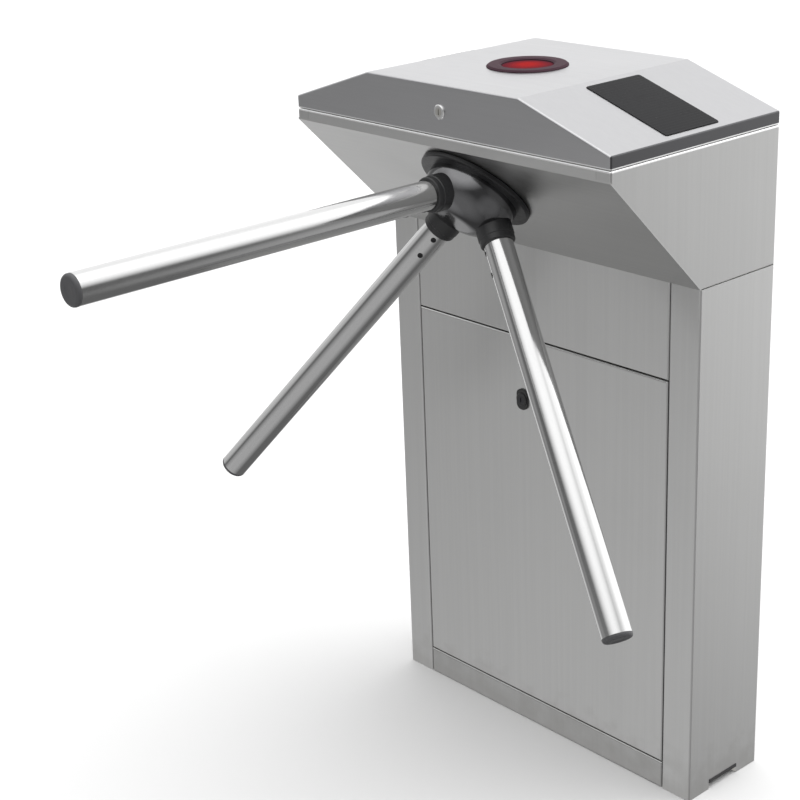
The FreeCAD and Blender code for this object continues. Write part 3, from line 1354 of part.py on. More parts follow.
def cabinet_pieces():
    """Fixed pieces of the column, the head and the mechanism, by name."""
    half_panel = PILLAR_X - PANEL_GAP
    half_head = FLANGE_X - SEAM
    return {
        "base_plate": base_plate(),
        "right_pillar": right_pillar(),
        "left_pillar": mirrored(right_pillar()),
        "column_front_panel": front_tray(half_panel, DOOR_TOP, COLUMN_HEIGHT, square_top=True),
        "column_rear_panel": rear_tray(half_panel, 0, COLUMN_HEIGHT),
        "door_sill": door_sill(),
        "right_head_side": right_head_side(),
        "left_head_side": mirrored(right_head_side()),
        "slant_panel": slant_panel(),
        "head_rear_panel": rear_tray(half_head, COLUMN_HEIGHT, SEAM_Z),
        "lid_seal": lid_seal(),
        "lid_keeper": lid_keeper(),
        "lid_hinge_fixed": [hinge_leaf(False), hinge_pin()],
        "mechanism_plate": mechanism_plate(),
        "mechanism_posts": mechanism_posts(),
        "bearing_housing": bearing_housing(),
        "shaft_bearings": [shaft_bearing(BEARING_FRONT), shaft_bearing(BEARING_REAR)],
        "index_bush": index_bush(),
        "index_spring": index_spring(),
        "damper_body": damper_body(),
        "left_solenoid": left_solenoid(),
        "right_solenoid": mirrored(left_solenoid()),
        "position_sensor": [position_sensor(), sensor_bracket()],
        "control_board": control_board(),
        "power_supply": power_supply(),
    }


def rotor_pieces():
    """Everything that turns with the arms, by name."""
    pieces = {
        "hub_flange": hub_flange(),
        "hub_dome": hub_dome(),
        "arm_caps": [arm_cap(k) for k in range(ARM_COUNT)],
        "arm_screws": arm_screws(),
        "main_shaft": main_shaft(),
        "main_gear": main_gear(),
        "lock_wheel": lock_wheel(),
        "encoder_disc": encoder_disc(),
        "shaft_nut": shaft_nut(),
    }
    for k in range(ARM_COUNT):
        pieces["arm_collar_%d" % (k + 1)] = arm_collar(k)
        pieces["arm_tube_%d" % (k + 1)] = arm_tube(k)
    return pieces


def driven_pieces():
    """The crank, the damper's pinion, the pawls and the plungers, by name."""
    return {
        "index_crank": index_crank(),
        "index_pinion": index_pinion(),
        "damper_pinion": damper_pinion(),
        "left_pawl": left_pawl(),
        "right_pawl": mirrored(left_pawl()),
        "left_plunger": left_plunger(),
        "right_plunger": mirrored(left_plunger()),
    }


def lid_pieces():
    """The lid and what it carries, by name."""
    at_lock = turned_to_front(0, HEAD_FRONT, LID_LOCK_Z)
    return {
        "lid_shell": lid_shell(),
        "lid_hinge_moving": hinge_leaf(True),
        "indicator_bezel": indicator_bezel(),
        "indicator_lens": indicator_lens(),
        "indicator_housing": indicator_housing(),
        "reader_windows": [reader_window(side) for side in (-1, 1)],
        "reader_housings": [reader_housing(side) for side in (-1, 1)],
        "lid_lock_barrel": moved(lock_barrel(LID_LOCK_LENGTH, False), at_lock),
        "lid_lock_cam": moved(lock_cam(LID_LOCK_LENGTH, LID_CAM_LENGTH, -90.0, False), at_lock),
    }


def door_pieces():
    """The door and its lock, by name."""
    at_lock = turned_to_front(DOOR_LOCK_X, -HALF_DEPTH, DOOR_LOCK_HEIGHT)
    cam_reach = DOOR_TOP + DOOR_CAM_OVERLAP - DOOR_LOCK_HEIGHT
    return {
        "door_panel": door_panel(),
        "door_lock_barrel": moved(lock_barrel(DOOR_LOCK_LENGTH, True), at_lock),
        "door_lock_cam": moved(lock_cam(DOOR_LOCK_LENGTH, cam_reach, 0.0, True), at_lock),
    }


def main():
    """Build every piece and write it out under its name."""
    os.makedirs("parts", exist_ok=True)
    pieces = {}
    for group in (cabinet_pieces, rotor_pieces, driven_pieces, lid_pieces, door_pieces):
        pieces.update(group())
    for name, shape in pieces.items():
        solids = shape if isinstance(shape, list) else [shape]
        Part.makeCompound(solids).exportStep("parts/%s.step" % name)
    print("%d pieces written" % len(pieces))


main()
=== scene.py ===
"""Tripod turnstile: finishes, smooth turned pieces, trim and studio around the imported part."""

import json
import logging
import math
from dataclasses import dataclass
from enum import Enum
from typing import Callable, Sequence, Union

import bpy
from mathutils import Matrix, Vector

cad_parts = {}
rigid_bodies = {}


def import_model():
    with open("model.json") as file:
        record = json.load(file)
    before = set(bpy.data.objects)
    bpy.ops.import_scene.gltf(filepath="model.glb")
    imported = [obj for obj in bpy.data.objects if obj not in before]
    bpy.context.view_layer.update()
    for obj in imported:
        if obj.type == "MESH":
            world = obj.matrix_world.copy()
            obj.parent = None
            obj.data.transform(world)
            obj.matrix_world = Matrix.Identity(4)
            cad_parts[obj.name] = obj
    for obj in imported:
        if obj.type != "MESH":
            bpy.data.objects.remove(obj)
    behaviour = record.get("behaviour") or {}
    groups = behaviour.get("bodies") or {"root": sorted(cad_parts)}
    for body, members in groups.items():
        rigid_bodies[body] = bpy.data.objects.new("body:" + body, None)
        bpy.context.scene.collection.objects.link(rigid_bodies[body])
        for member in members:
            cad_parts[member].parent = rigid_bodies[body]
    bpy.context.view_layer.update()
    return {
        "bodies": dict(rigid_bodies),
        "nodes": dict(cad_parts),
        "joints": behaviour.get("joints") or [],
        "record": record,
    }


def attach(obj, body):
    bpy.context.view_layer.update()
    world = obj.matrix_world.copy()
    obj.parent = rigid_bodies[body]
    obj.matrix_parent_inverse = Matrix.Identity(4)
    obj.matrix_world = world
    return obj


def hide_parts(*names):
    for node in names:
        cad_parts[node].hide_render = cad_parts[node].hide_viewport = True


LOG = logging.getLogger("turnstile")

Colour = tuple[float, float, float]
Point = tuple[float, float, float]
Span = tuple[float, float]
Profile = Sequence[Span]
Piece = bpy.types.Object
Tree = bpy.types.NodeTree
Socket = bpy.types.NodeSocket
Level = Union[Socket, float]
EdgeTest = Callable[[Vector, Vector], bool]
FaceTest = Callable[[bpy.types.MeshPolygon], bool]

VECTOR_IN = ("Vector", "NodeSocketVector", 0.0)

# Range of a mask, the same falling, the range that most of a noise lies in, and the signs of a pair.
MASK: Span = (0.0, 1.0)
FALLING: Span = (1.0, 0.0)
NOISE_BAND: Span = (0.3, 0.7)
SIGNS: Span = (-1.0, 1.0)


class Grain(Enum):
    """Direction in which a sheet is brushed, as the scale of its hairlines on X, Y and Z."""

    ALONG_X = (14.0, 1500.0, 1500.0)
    ALONG_Z = (1500.0, 1500.0, 14.0)


class Ring(Enum):
    """How a turned shape is closed: filled at both ends, or its last ring joined to its first."""

    FILLED = "filled"
    WALL = "wall"


def new_group(name: str, inputs: Sequence[tuple[str, str, float]], outputs: Sequence[str]) -> Tree:
    """Make an empty shader node group with named sockets.

    Args:
        name: Name of the group.
        inputs: Socket name, socket type and default of each input. A vector takes no default.
        outputs: Names of the outputs, all plain values.

    Returns:
        The group, with its input and output nodes in place.
    """
    group = bpy.data.node_groups.new(name, "ShaderNodeTree")
    for socket_name, kind, default in inputs:
        socket = group.interface.new_socket(socket_name, in_out="INPUT", socket_type=kind)
        if kind == "NodeSocketFloat":
            socket.default_value = default
    for socket_name in outputs:
        group.interface.new_socket(socket_name, in_out="OUTPUT", socket_type="NodeSocketFloat")
    group.nodes.new("NodeGroupInput").name = "in"
    group.nodes.new("NodeGroupOutput").name = "out"
    return group


def add_noise(tree: Tree, vector: Socket, scale: float, detail: float) -> Socket:
    """Add a noise texture.

    Args:
        tree: Node tree to add to.
        vector: Coordinates to read.
        scale: Noise scale.
        detail: Noise detail.

    Returns:
        The noise value's socket.
    """
    noise = tree.nodes.new("ShaderNodeTexNoise")
    noise.inputs["Scale"].default_value = scale
    noise.inputs["Detail"].default_value = detail
    tree.links.new(vector, noise.inputs["Vector"])
    return noise.outputs["Fac"]


def add_math(tree: Tree, operation: str, first: Level, second: Level) -> Socket:
    """Add a math node fed by sockets or plain numbers.

    Args:
        tree: Node tree to add to.
        operation: Math operation.
        first: Socket or number.
        second: Socket or number.

    Returns:
        The result's socket.
    """
    node = tree.nodes.new("ShaderNodeMath")
    node.operation = operation
    for slot, value in zip(node.inputs, (first, second)):
        if isinstance(value, Socket):
            tree.links.new(value, slot)
        else:
            slot.default_value = value
    return node.outputs[0]


def add_range(tree: Tree, value: Socket, start: Span, end: Span) -> Socket:
    """Map one range of values onto another, clamped.

    Args:
        tree: Node tree to add to.
        value: Socket to map.
        start: Range that is read.
        end: Range that comes out.

    Returns:
        The mapped value's socket.
    """
    node = tree.nodes.new("ShaderNodeMapRange")
    tree.links.new(value, node.inputs["Value"])
    node.inputs["From Min"].default_value, node.inputs["From Max"].default_value = start
    node.inputs["To Min"].default_value, node.inputs["To Max"].default_value = end
    return node.outputs["Result"]


def add_share(tree: Tree, value: Socket, mask: Socket, share: float) -> Socket:
    """Add a share of a mask to a value.

    Args:
        tree: Node tree to add to.
        value: Socket that is added to.
        mask: Mask socket.
        share: Share of the mask.

    Returns:
        The sum's socket.
    """
    return add_math(tree, "ADD", value, add_math(tree, "MULTIPLY", mask, share))


def shades(tone: Colour, contrast: float) -> tuple[Colour, Colour]:
    """Work out a darker and a lighter shade of a colour.

    Args:
        tone: Colour between the two.
        contrast: Share by which each departs from it.

    Returns:
        The darker shade and the lighter one.
    """
    low = tuple(level * (1.0 - contrast) for level in tone)
    high = tuple(min(1.0, level * (1.0 + contrast)) for level in tone)
    return low, high


def hairline_group() -> Tree:
    """Make brushed hairlines and broader streaks, from stretched coordinates.

    Returns:
        The group.
    """
    group = new_group("hairlines", [VECTOR_IN], ["Lines", "Streaks"])
    vector = group.nodes["in"].outputs["Vector"]
    out = group.nodes["out"].inputs
    fine = add_noise(group, vector, scale=1.0, detail=4.0)
    broad = add_noise(group, vector, scale=0.16, detail=2.0)
    group.links.new(add_range(group, fine, NOISE_BAND, MASK), out["Lines"])
    group.links.new(add_range(group, broad, start=(0.35, 0.65), end=MASK), out["Streaks"])
    return group


def smudge_group() -> Tree:
    """Make soft handling marks: large clouds broken up by small ones.

    Returns:
        The group.
    """
    group = new_group("smudges", [VECTOR_IN, ("Amount", "NodeSocketFloat", 0.5)], ["Mask"])
    vector = group.nodes["in"].outputs["Vector"]
    large = add_noise(group, vector, scale=6.0, detail=3.0)
    small = add_noise(group, vector, scale=60.0, detail=5.0)
    clouds = add_range(group, large, start=(0.42, 0.75), end=MASK)
    specks = add_range(group, small, start=(0.35, 0.7), end=(0.3, 1.0))
    mask = add_math(group, "MULTIPLY", clouds, specks)
    mask = add_math(group, "MULTIPLY", mask, group.nodes["in"].outputs["Amount"])
    group.links.new(mask, group.nodes["out"].inputs["Mask"])
    return group


def dust_group() -> Tree:
    """Make dust that gathers towards the floor, ragged along its upper edge.

    Returns:
        The group.
    """
    group = new_group("floor_dust", [VECTOR_IN, ("Height", "NodeSocketFloat", 0.05)], ["Mask"])
    vector = group.nodes["in"].outputs["Vector"]
    split = group.nodes.new("ShaderNodeSeparateXYZ")
    group.links.new(vector, split.inputs[0])
    ratio = add_math(group, "DIVIDE", split.outputs["Z"], group.nodes["in"].outputs["Height"])
    noise = add_noise(group, vector, scale=45.0, detail=4.0)
    rough_edge = add_math(group, "ADD", ratio, add_range(group, noise, NOISE_BAND, (-0.6, 0.6)))
    mask = add_range(group, rough_edge, start=(0.0, 1.4), end=FALLING)
    group.links.new(mask, group.nodes["out"].inputs["Mask"])
    return group


def mould_group() -> Tree:
    """Make the fine spark-eroded texture of a moulded plastic surface.

    Returns:
        The group.
    """
    group = new_group("moulded_texture", [VECTOR_IN, ("Scale", "NodeSocketFloat", 900.0)], ["Height"])
    noise = group.nodes.new("ShaderNodeTexNoise")
    group.links.new(group.nodes["in"].outputs["Vector"], noise.inputs["Vector"])
    group.links.new(group.nodes["in"].outputs["Scale"], noise.inputs["Scale"])
    noise.inputs["Detail"].default_value = 3.0
    group.links.new(noise.outputs["Fac"], group.nodes["out"].inputs["Height"])
    return group


EFFECTS: dict[str, Callable[[], Tree]] = {
    "hairlines": hairline_group,
    "smudges": smudge_group,
    "floor_dust": dust_group,
    "moulded_texture": mould_group,
}


class Palette:
    """A material being built: its node tree, its shader and the effects placed in it."""

    def __init__(self, name: str) -> None:
        """Start a material with a principled shader.

        Args:
            name: Name of the material.
        """
        self.material = bpy.data.materials.new(name)
        self.material.use_nodes = True
        self.tree = self.material.node_tree
        self.shader = self.tree.nodes["Principled BSDF"]
        self.coordinates = self.tree.nodes.new("ShaderNodeTexCoord").outputs["Object"]

    def effect(self, name: str, vector: Socket, **values: float) -> bpy.types.Node:
        """Place a shared effect group.

        Args:
            name: Effect to place.
            vector: Coordinates that it reads.
            values: Input values by socket name.

        Returns:
            The group's node.
        """
        group = bpy.data.node_groups.get(name) or EFFECTS[name]()
        node = self.tree.nodes.new("ShaderNodeGroup")
        node.node_tree = group
        self.tree.links.new(vector, node.inputs["Vector"])
        for key, value in values.items():
            node.inputs[key].default_value = value
        return node

    def stretched(self, scale: Point) -> Socket:
        """Coordinates scaled by axis.

        Args:
            scale: Scale on each axis.

        Returns:
            The new coordinates' socket.
        """
        node = self.tree.nodes.new("ShaderNodeMapping")
        node.inputs["Scale"].default_value = scale
        self.tree.links.new(self.coordinates, node.inputs["Vector"])
        return node.outputs[0]

    def mixed(self, factor: Socket, first: Colour, second: Colour) -> Socket:
        """Blend of two colours by a mask.

        Args:
            factor: Mask socket.
            first: Colour where the mask is 0.
            second: Colour where the mask is 1.

        Returns:
            The colour's socket.
        """
        node = self.tree.nodes.new("ShaderNodeMix")
        node.data_type = "RGBA"
        self.tree.links.new(factor, node.inputs["Factor"])
        node.inputs["A"].default_value = (*first, 1.0)
        node.inputs["B"].default_value = (*second, 1.0)
        return node.outputs["Result"]

    def over(self, factor: Socket, under: Socket, colour: Colour) -> Socket:
        """Lay a colour over another by a mask.

        Args:
            factor: Mask socket.
            under: Colour socket below.
            colour: Colour laid on top.

        Returns:
            The colour's socket.
        """
        node = self.tree.nodes.new("ShaderNodeMix")
        node.data_type = "RGBA"
        self.tree.links.new(factor, node.inputs["Factor"])
        self.tree.links.new(under, node.inputs["A"])
        node.inputs["B"].default_value = (*colour, 1.0)
        return node.outputs["Result"]

    def beyond(self, side: float, height: float) -> Socket:
        """Mask of what stands further out than a distance on X and lower than a height.

        Args:
            side: Distance from the middle on X.
            height: Height on Z.

        Returns:
            The mask's socket.
        """
        split = self.tree.nodes.new("ShaderNodeSeparateXYZ")
        self.tree.links.new(self.coordinates, split.inputs[0])
        reach = add_math(self.tree, "ABSOLUTE", split.outputs["X"], 0.0)
        outer = add_math(self.tree, "GREATER_THAN", reach, side)
        lower = add_math(self.tree, "LESS_THAN", split.outputs["Z"], height)
        return add_math(self.tree, "MULTIPLY", outer, lower)

    def between(self, low: float, high: float) -> Socket:
        """Mask of what stands between two heights.

        Args:
            low: Lower height on Z.
            high: Upper height on Z.

        Returns:
            The mask's socket.
        """
        split = self.tree.nodes.new("ShaderNodeSeparateXYZ")
        self.tree.links.new(self.coordinates, split.inputs[0])
        above = add_math(self.tree, "GREATER_THAN", split.outputs["Z"], low)
        below = add_math(self.tree, "LESS_THAN", split.outputs["Z"], high)
        return add_math(self.tree, "MULTIPLY", above, below)

    def feed(self, socket: str, value: Socket) -> None:
        """Link a value to one of the shader's inputs."""
        self.tree.links.new(value, self.shader.inputs[socket])

    def bump(self, height: Socket, strength: float, distance: float) -> None:
        """Raise the surface by a height.

        Args:
            height: Height socket.
            strength: Strength of the bump.
            distance: Height in metres where the socket is 1.
        """
        node = self.tree.nodes.new("ShaderNodeBump")
        node.inputs["Strength"].default_value = strength
        node.inputs["Distance"].default_value = distance
        self.tree.links.new(height, node.inputs["Height"])
        self.tree.links.new(node.outputs["Normal"], self.shader.inputs["Normal"])

    def fixed(self, **values: float) -> None:
        """Set inputs that are the same all over, by name with underscores for spaces."""
        for key, value in values.items():
            self.shader.inputs[key.replace("_", " ")].default_value = value


@dataclass(frozen=True)
class BrushedSteel:
    """Stainless sheet or bar with drawn hairlines, faint smudges and, where it stands low, dust; it can
    also carry painted shade on end faces and a painted highlight along a fold.
    """

    name: str
    grain: Grain = Grain.ALONG_Z
    tone: Colour = (0.63, 0.63, 0.625)
    contrast: float = 0.03
    line_share: float = 0.6
    smooth: float = 0.29
    rough: float = 0.38
    smudged: float = 0.3
    smudge_rough: float = 0.16
    dusty: bool = False
    dust_height: float = 0.045
    dust_share: float = 0.16
    dust_tone: Colour = (0.30, 0.28, 0.25)
    dust_rough: float = 0.5
    # Painted shade laid over the end faces beyond a distance on X and below a height.
    ends: Span | None = None
    painted_shade_tone: Colour = (0.12, 0.12, 0.125)
    # Painted highlight: a near-white band between two heights, standing for the shine on a rolled fold.
    painted_highlight: Span | None = None
    highlight_tone: Colour = (0.97, 0.97, 0.97)
    bump: float = 0.35
    depth: float = 0.00004

    def build(self) -> bpy.types.Material:
        """Make the finish.

        Returns:
            The finished material.
        """
        kit = Palette(self.name)
        tree = kit.tree
        hairlines = kit.effect("hairlines", kit.stretched(self.grain.value)).outputs
        marks = kit.effect("smudges", kit.coordinates, Amount=self.smudged).outputs["Mask"]
        lines = add_math(tree, "MULTIPLY", hairlines["Lines"], self.line_share)
        blend = add_share(tree, lines, hairlines["Streaks"], 1.0 - self.line_share)
        colour = kit.mixed(blend, *shades(self.tone, self.contrast))
        roughness = add_range(tree, hairlines["Lines"], MASK, (self.smooth, self.rough))
        roughness = add_share(tree, roughness, marks, self.smudge_rough)
        # Painted shade: the end faces are darkened to stand for the shade that falls on them.
        if self.ends:
            colour = kit.over(kit.beyond(*self.ends), colour, self.painted_shade_tone)
        # Painted highlight along the fold, laid over the colour.
        if self.painted_highlight:
            colour = kit.over(kit.between(*self.painted_highlight), colour, self.highlight_tone)
        if self.dusty:
            dust = kit.effect("floor_dust", kit.coordinates, Height=self.dust_height).outputs["Mask"]
            dust = add_math(tree, "MULTIPLY", dust, self.dust_share)
            colour = kit.over(dust, colour, self.dust_tone)
            roughness = add_share(tree, roughness, dust, self.dust_rough)
        kit.feed("Base Color", colour)
        kit.feed("Roughness", roughness)
        kit.bump(hairlines["Lines"], self.bump, self.depth)
        kit.fixed(Metallic=1.0)
        return kit.material


@dataclass(frozen=True)
class TurnedMetal:
    """Machined, cast or plated metal with a fine grain all ways and patches of handling."""

    name: str
    tone: Colour
    rough: float = 0.3
    spread: float = 0.12
    contrast: float = 0.12
    grain: float = 260.0
    smudged: float = 0.6
    smudge_rough: float = 0.12
    metallic: float = 1.0
    coat: float = 0.0
    shine: float = 0.5
    bump: float = 0.12
    depth: float = 0.00005

    def build(self) -> bpy.types.Material:
        """Make the finish.

        Returns:
            The finished material.
        """
        kit = Palette(self.name)
        tree = kit.tree
        grit = add_noise(tree, kit.coordinates, self.grain, detail=4.0)
        marks = kit.effect("smudges", kit.coordinates, Amount=self.smudged).outputs["Mask"]
        kit.feed("Base Color", kit.mixed(grit, *shades(self.tone, self.contrast)))
        half = self.spread / 2
        roughness = add_range(tree, grit, NOISE_BAND, (self.rough - half, self.rough + half))
        kit.feed("Roughness", add_share(tree, roughness, marks, self.smudge_rough))
        kit.bump(grit, self.bump, self.depth)
        kit.fixed(Metallic=self.metallic, Coat_Weight=self.coat, Specular_IOR_Level=self.shine)
        return kit.material


@dataclass(frozen=True)
class Plastic:
    """Moulded plastic or rubber with a fine texture, slight colour drift and scuffs."""

    name: str
    tone: Colour
    rough: float = 0.45
    spread: float = 0.12
    texture: float = 900.0
    scuff: float = 0.35
    scuff_gain: float = 1.5
    scuff_lift: float = 0.015
    scuff_rough: float = 0.2
    coat: float = 0.0
    shine: float = 0.5
    bump: float = 0.3
    depth: float = 0.00004

    def build(self) -> bpy.types.Material:
        """Make the finish.

        Returns:
            The finished material.
        """
        kit = Palette(self.name)
        tree = kit.tree
        marks = kit.effect("smudges", kit.coordinates, Amount=self.scuff).outputs["Mask"]
        height = kit.effect("moulded_texture", kit.coordinates, Scale=self.texture).outputs["Height"]
        lifted = tuple(min(1.0, level * self.scuff_gain + self.scuff_lift) for level in self.tone)
        kit.feed("Base Color", kit.mixed(marks, self.tone, lifted))
        half = self.spread / 2
        roughness = add_range(tree, height, NOISE_BAND, (self.rough - half, self.rough + half))
        kit.feed("Roughness", add_share(tree, roughness, marks, self.scuff_rough))
        kit.bump(height, self.bump, self.depth)
        kit.fixed(Coat_Weight=self.coat, Specular_IOR_Level=self.shine)
        return kit.material


@dataclass(frozen=True)
class LitLens:
    """Red lamp lens: deep red at the rim, brighter over the lamp, with moulded rings."""

    name: str
    middle: Point
    radius: float
    rim: Colour = (0.075, 0.018, 0.027)
    heart: Colour = (0.24, 0.018, 0.018)
    heart_share: float = 0.25
    cloud_scale: float = 180.0
    cloud: float = 0.08
    ring_pitch: float = 0.0022
    ring_bump: float = 0.4
    ring_depth: float = 0.0003
    gloss: Span = (0.12, 0.22)
    faint_light: Colour = (0.02, 0.0, 0.0)
    full_light: Colour = (0.8, 0.012, 0.012)
    power: float = 0.07

    def build(self) -> bpy.types.Material:
        """Make the finish.

        Returns:
            The finished material.
        """
        kit = Palette(self.name)
        tree = kit.tree
        distance = self.distance(kit)
        noise = add_noise(tree, kit.coordinates, self.cloud_scale, detail=3.0)
        clouds = add_range(tree, noise, NOISE_BAND, (-self.cloud, self.cloud))
        glow = add_range(tree, distance, (self.radius * self.heart_share, self.radius), FALLING)
        glow = add_math(tree, "ADD", glow, clouds)
        kit.feed("Base Color", kit.mixed(glow, self.rim, self.heart))
        phase = add_math(tree, "MULTIPLY", distance, 2.0 * math.pi / self.ring_pitch)
        rings = add_math(tree, "SINE", phase, 0.0)
        kit.bump(rings, self.ring_bump, self.ring_depth)
        kit.feed("Roughness", add_range(tree, rings, (-1.0, 1.0), self.gloss))
        light = kit.mixed(add_math(tree, "POWER", glow, 2.0), self.faint_light, self.full_light)
        kit.feed("Emission Color", light)
        kit.fixed(Emission_Strength=self.power, Specular_IOR_Level=0.0)
        return kit.material

    def distance(self, kit: Palette) -> Socket:
        """Distance from the lens's axis, which stands upright at rest.

        Args:
            kit: Material being built.

        Returns:
            The distance's socket.
        """
        tree = kit.tree
        shift = tree.nodes.new("ShaderNodeMapping")
        shift.inputs["Location"].default_value = tuple(-place for place in self.middle)
        tree.links.new(kit.coordinates, shift.inputs["Vector"])
        flat = tree.nodes.new("ShaderNodeVectorMath")
        flat.operation = "MULTIPLY"
        flat.inputs[1].default_value = (1.0, 1.0, 0.0)
        tree.links.new(shift.outputs[0], flat.inputs[0])
        reach = tree.nodes.new("ShaderNodeVectorMath")
        reach.operation = "LENGTH"
        tree.links.new(flat.outputs[0], reach.inputs[0])
        return reach.outputs["Value"]


@dataclass(frozen=True)
class DarkGlass:
    """Black reader glass over a dark printed back with a faint mesh of dots."""

    name: str
    tone: Colour = (0.015, 0.015, 0.016)
    print_tone: Colour = (0.040, 0.041, 0.043)
    dot_scale: float = 620.0
    dot_edge: Span = (0.15, 0.35)
    dot_share: float = 0.8
    smudged: float = 0.5
    gloss: Span = (0.2, 0.34)
    shine: float = 0.03

    def build(self) -> bpy.types.Material:
        """Make the finish.

        Returns:
            The finished material.
        """
        kit = Palette(self.name)
        tree = kit.tree
        dots = tree.nodes.new("ShaderNodeTexVoronoi")
        dots.inputs["Scale"].default_value = self.dot_scale
        dots.inputs["Randomness"].default_value = 0.0
        tree.links.new(kit.coordinates, dots.inputs["Vector"])
        mask = add_range(tree, dots.outputs["Distance"], self.dot_edge, FALLING)
        mask = add_math(tree, "MULTIPLY", mask, self.dot_share)
        kit.feed("Base Color", kit.mixed(mask, self.tone, self.print_tone))
        marks = kit.effect("smudges", kit.coordinates, Amount=self.smudged).outputs["Mask"]
        kit.feed("Roughness", add_range(tree, marks, (0.0, self.smudged), self.gloss))
        kit.fixed(Specular_IOR_Level=self.shine)
        return kit.material


Finish = Union[BrushedSteel, TurnedMetal, Plastic, LitLens, DarkGlass]


class Bench:
    """Modelling steps on one new piece at a time."""

    SAME_RADIUS = 1e-9
    MERGE = 1e-6
    WIRE_SIDES = 16
    WINDING_STEPS = 48

    @staticmethod
    def clear() -> None:
        """Leave edit mode and deselect everything."""
        if bpy.context.object and bpy.context.object.mode != "OBJECT":
            bpy.ops.object.mode_set(mode="OBJECT")
        bpy.ops.object.select_all(action="DESELECT")

    @staticmethod
    def pick(obj: Piece, wanted: FaceTest) -> None:
        """Select only the faces that a test picks, then go back to edit mode with faces on.

        Args:
            obj: Piece being edited.
            wanted: Test on a face, read by its place or normal.
        """
        bpy.ops.object.mode_set(mode="EDIT")
        bpy.ops.mesh.select_mode(type="FACE")
        bpy.ops.mesh.select_all(action="DESELECT")
        bpy.ops.object.mode_set(mode="OBJECT")
        for face in obj.data.polygons:
            face.select = wanted(face)
        bpy.ops.object.mode_set(mode="EDIT")

    @staticmethod
    def pick_edges(obj: Piece, wanted: EdgeTest) -> None:
        """Select only the edges whose two end points pass a test, in edit mode.

        Args:
            obj: Piece being edited.
            wanted: Test on an edge's end points.
        """
        bpy.ops.object.mode_set(mode="EDIT")
        bpy.ops.mesh.select_mode(type="EDGE")
        bpy.ops.mesh.select_all(action="DESELECT")
        bpy.ops.object.mode_set(mode="OBJECT")
        points = obj.data.vertices
        for edge in obj.data.edges:
            edge.select = wanted(points[edge.vertices[0]].co, points[edge.vertices[1]].co)
        bpy.ops.object.mode_set(mode="EDIT")

    @classmethod
    def turned(cls, name: str, profile: Profile, sides: int, end: Ring = Ring.FILLED) -> Piece:
        """Turn a shape about Z: a ring is extruded, moved and resized from one profile point to the next.

        Args:
            name: Name of the piece.
            profile: Radius and height of each ring, from the first to the last.
            sides: Points on each ring.
            end: How the shape is closed.

        Returns:
            The new object.
        """
        cls.clear()
        radius, height = profile[0]
        bpy.ops.mesh.primitive_circle_add(vertices=sides, radius=radius, location=(0.0, 0.0, height),
                                          fill_type="NGON" if end is Ring.FILLED else "NOTHING")
        obj = bpy.context.object
        obj.name = name
        bpy.ops.object.transform_apply(location=True, rotation=True, scale=True)
        bpy.ops.object.mode_set(mode="EDIT")
        bpy.ops.mesh.select_mode(type="EDGE")
        bpy.ops.mesh.select_all(action="SELECT")
        for next_radius, next_height in profile[1:]:
            rise = (0.0, 0.0, next_height - height)
            bpy.ops.mesh.extrude_edges_move(TRANSFORM_OT_translate={"value": rise})
            if abs(next_radius - radius) > cls.SAME_RADIUS:
                ratio = next_radius / radius
                middle = (0.0, 0.0, next_height)
                bpy.ops.transform.resize(value=(ratio, ratio, 1.0), center_override=middle)
            radius, height = next_radius, next_height
        if end is Ring.FILLED:
            bpy.ops.mesh.edge_face_add()
        else:
            cls.pick_open_edges()
            bpy.ops.mesh.bridge_edge_loops()
        bpy.ops.mesh.select_all(action="SELECT")
        bpy.ops.mesh.normals_make_consistent(inside=False)
        bpy.ops.object.mode_set(mode="OBJECT")
        return obj

    @staticmethod
    def pick_open_edges() -> None:
        """Select the edges that bound an open mesh, in edit mode."""
        bpy.ops.mesh.select_mode(type="EDGE")
        bpy.ops.mesh.select_all(action="DESELECT")
        bpy.ops.mesh.select_non_manifold(extend=False, use_wire=False, use_boundary=True,
                                         use_multi_face=False, use_non_contiguous=False, use_verts=False)

    @classmethod
    def block(cls, name: str, size: Point, middle: Point) -> Piece:
        """Add a block of a size and place, ready to be shaped.

        Args:
            name: Name of the piece.
            size: Length on each axis.
            middle: Centre of the block.

        Returns:
            The new object.
        """
        cls.clear()
        bpy.ops.mesh.primitive_cube_add(size=1.0, location=middle)
        obj = bpy.context.object
        obj.name = name
        obj.scale = size
        bpy.ops.object.transform_apply(location=True, rotation=True, scale=True)
        return obj

    @classmethod
    def bevel(cls, obj: Piece, width: float, segments: int, wanted: EdgeTest) -> None:
        """Bevel the edges that a test picks, in edit mode.

        Args:
            obj: Piece to work on.
            width: Bevel width.
            segments: Segments across the bevel.
            wanted: Test on an edge's end points.
        """
        cls.pick_edges(obj, wanted)
        bpy.ops.mesh.bevel(offset=width, offset_type="OFFSET", segments=segments, affect="EDGES")
        bpy.ops.object.mode_set(mode="OBJECT")

    @staticmethod
    def soften(obj: Piece, width: float, segments: int = 2, angle: float = 30.0) -> None:
        """Round every sharp edge with a bevel modifier and apply it.

        Args:
            obj: Piece to work on.
            width: Bevel width.
            segments: Segments across the bevel.
            angle: Least angle in degrees that counts as sharp.
        """
        bevel = obj.modifiers.new("soft_edges", "BEVEL")
        bevel.width = width
        bevel.segments = segments
        bevel.limit_method = "ANGLE"
        bevel.angle_limit = math.radians(angle)
        bpy.context.view_layer.objects.active = obj
        bpy.ops.object.modifier_apply(modifier=bevel.name)

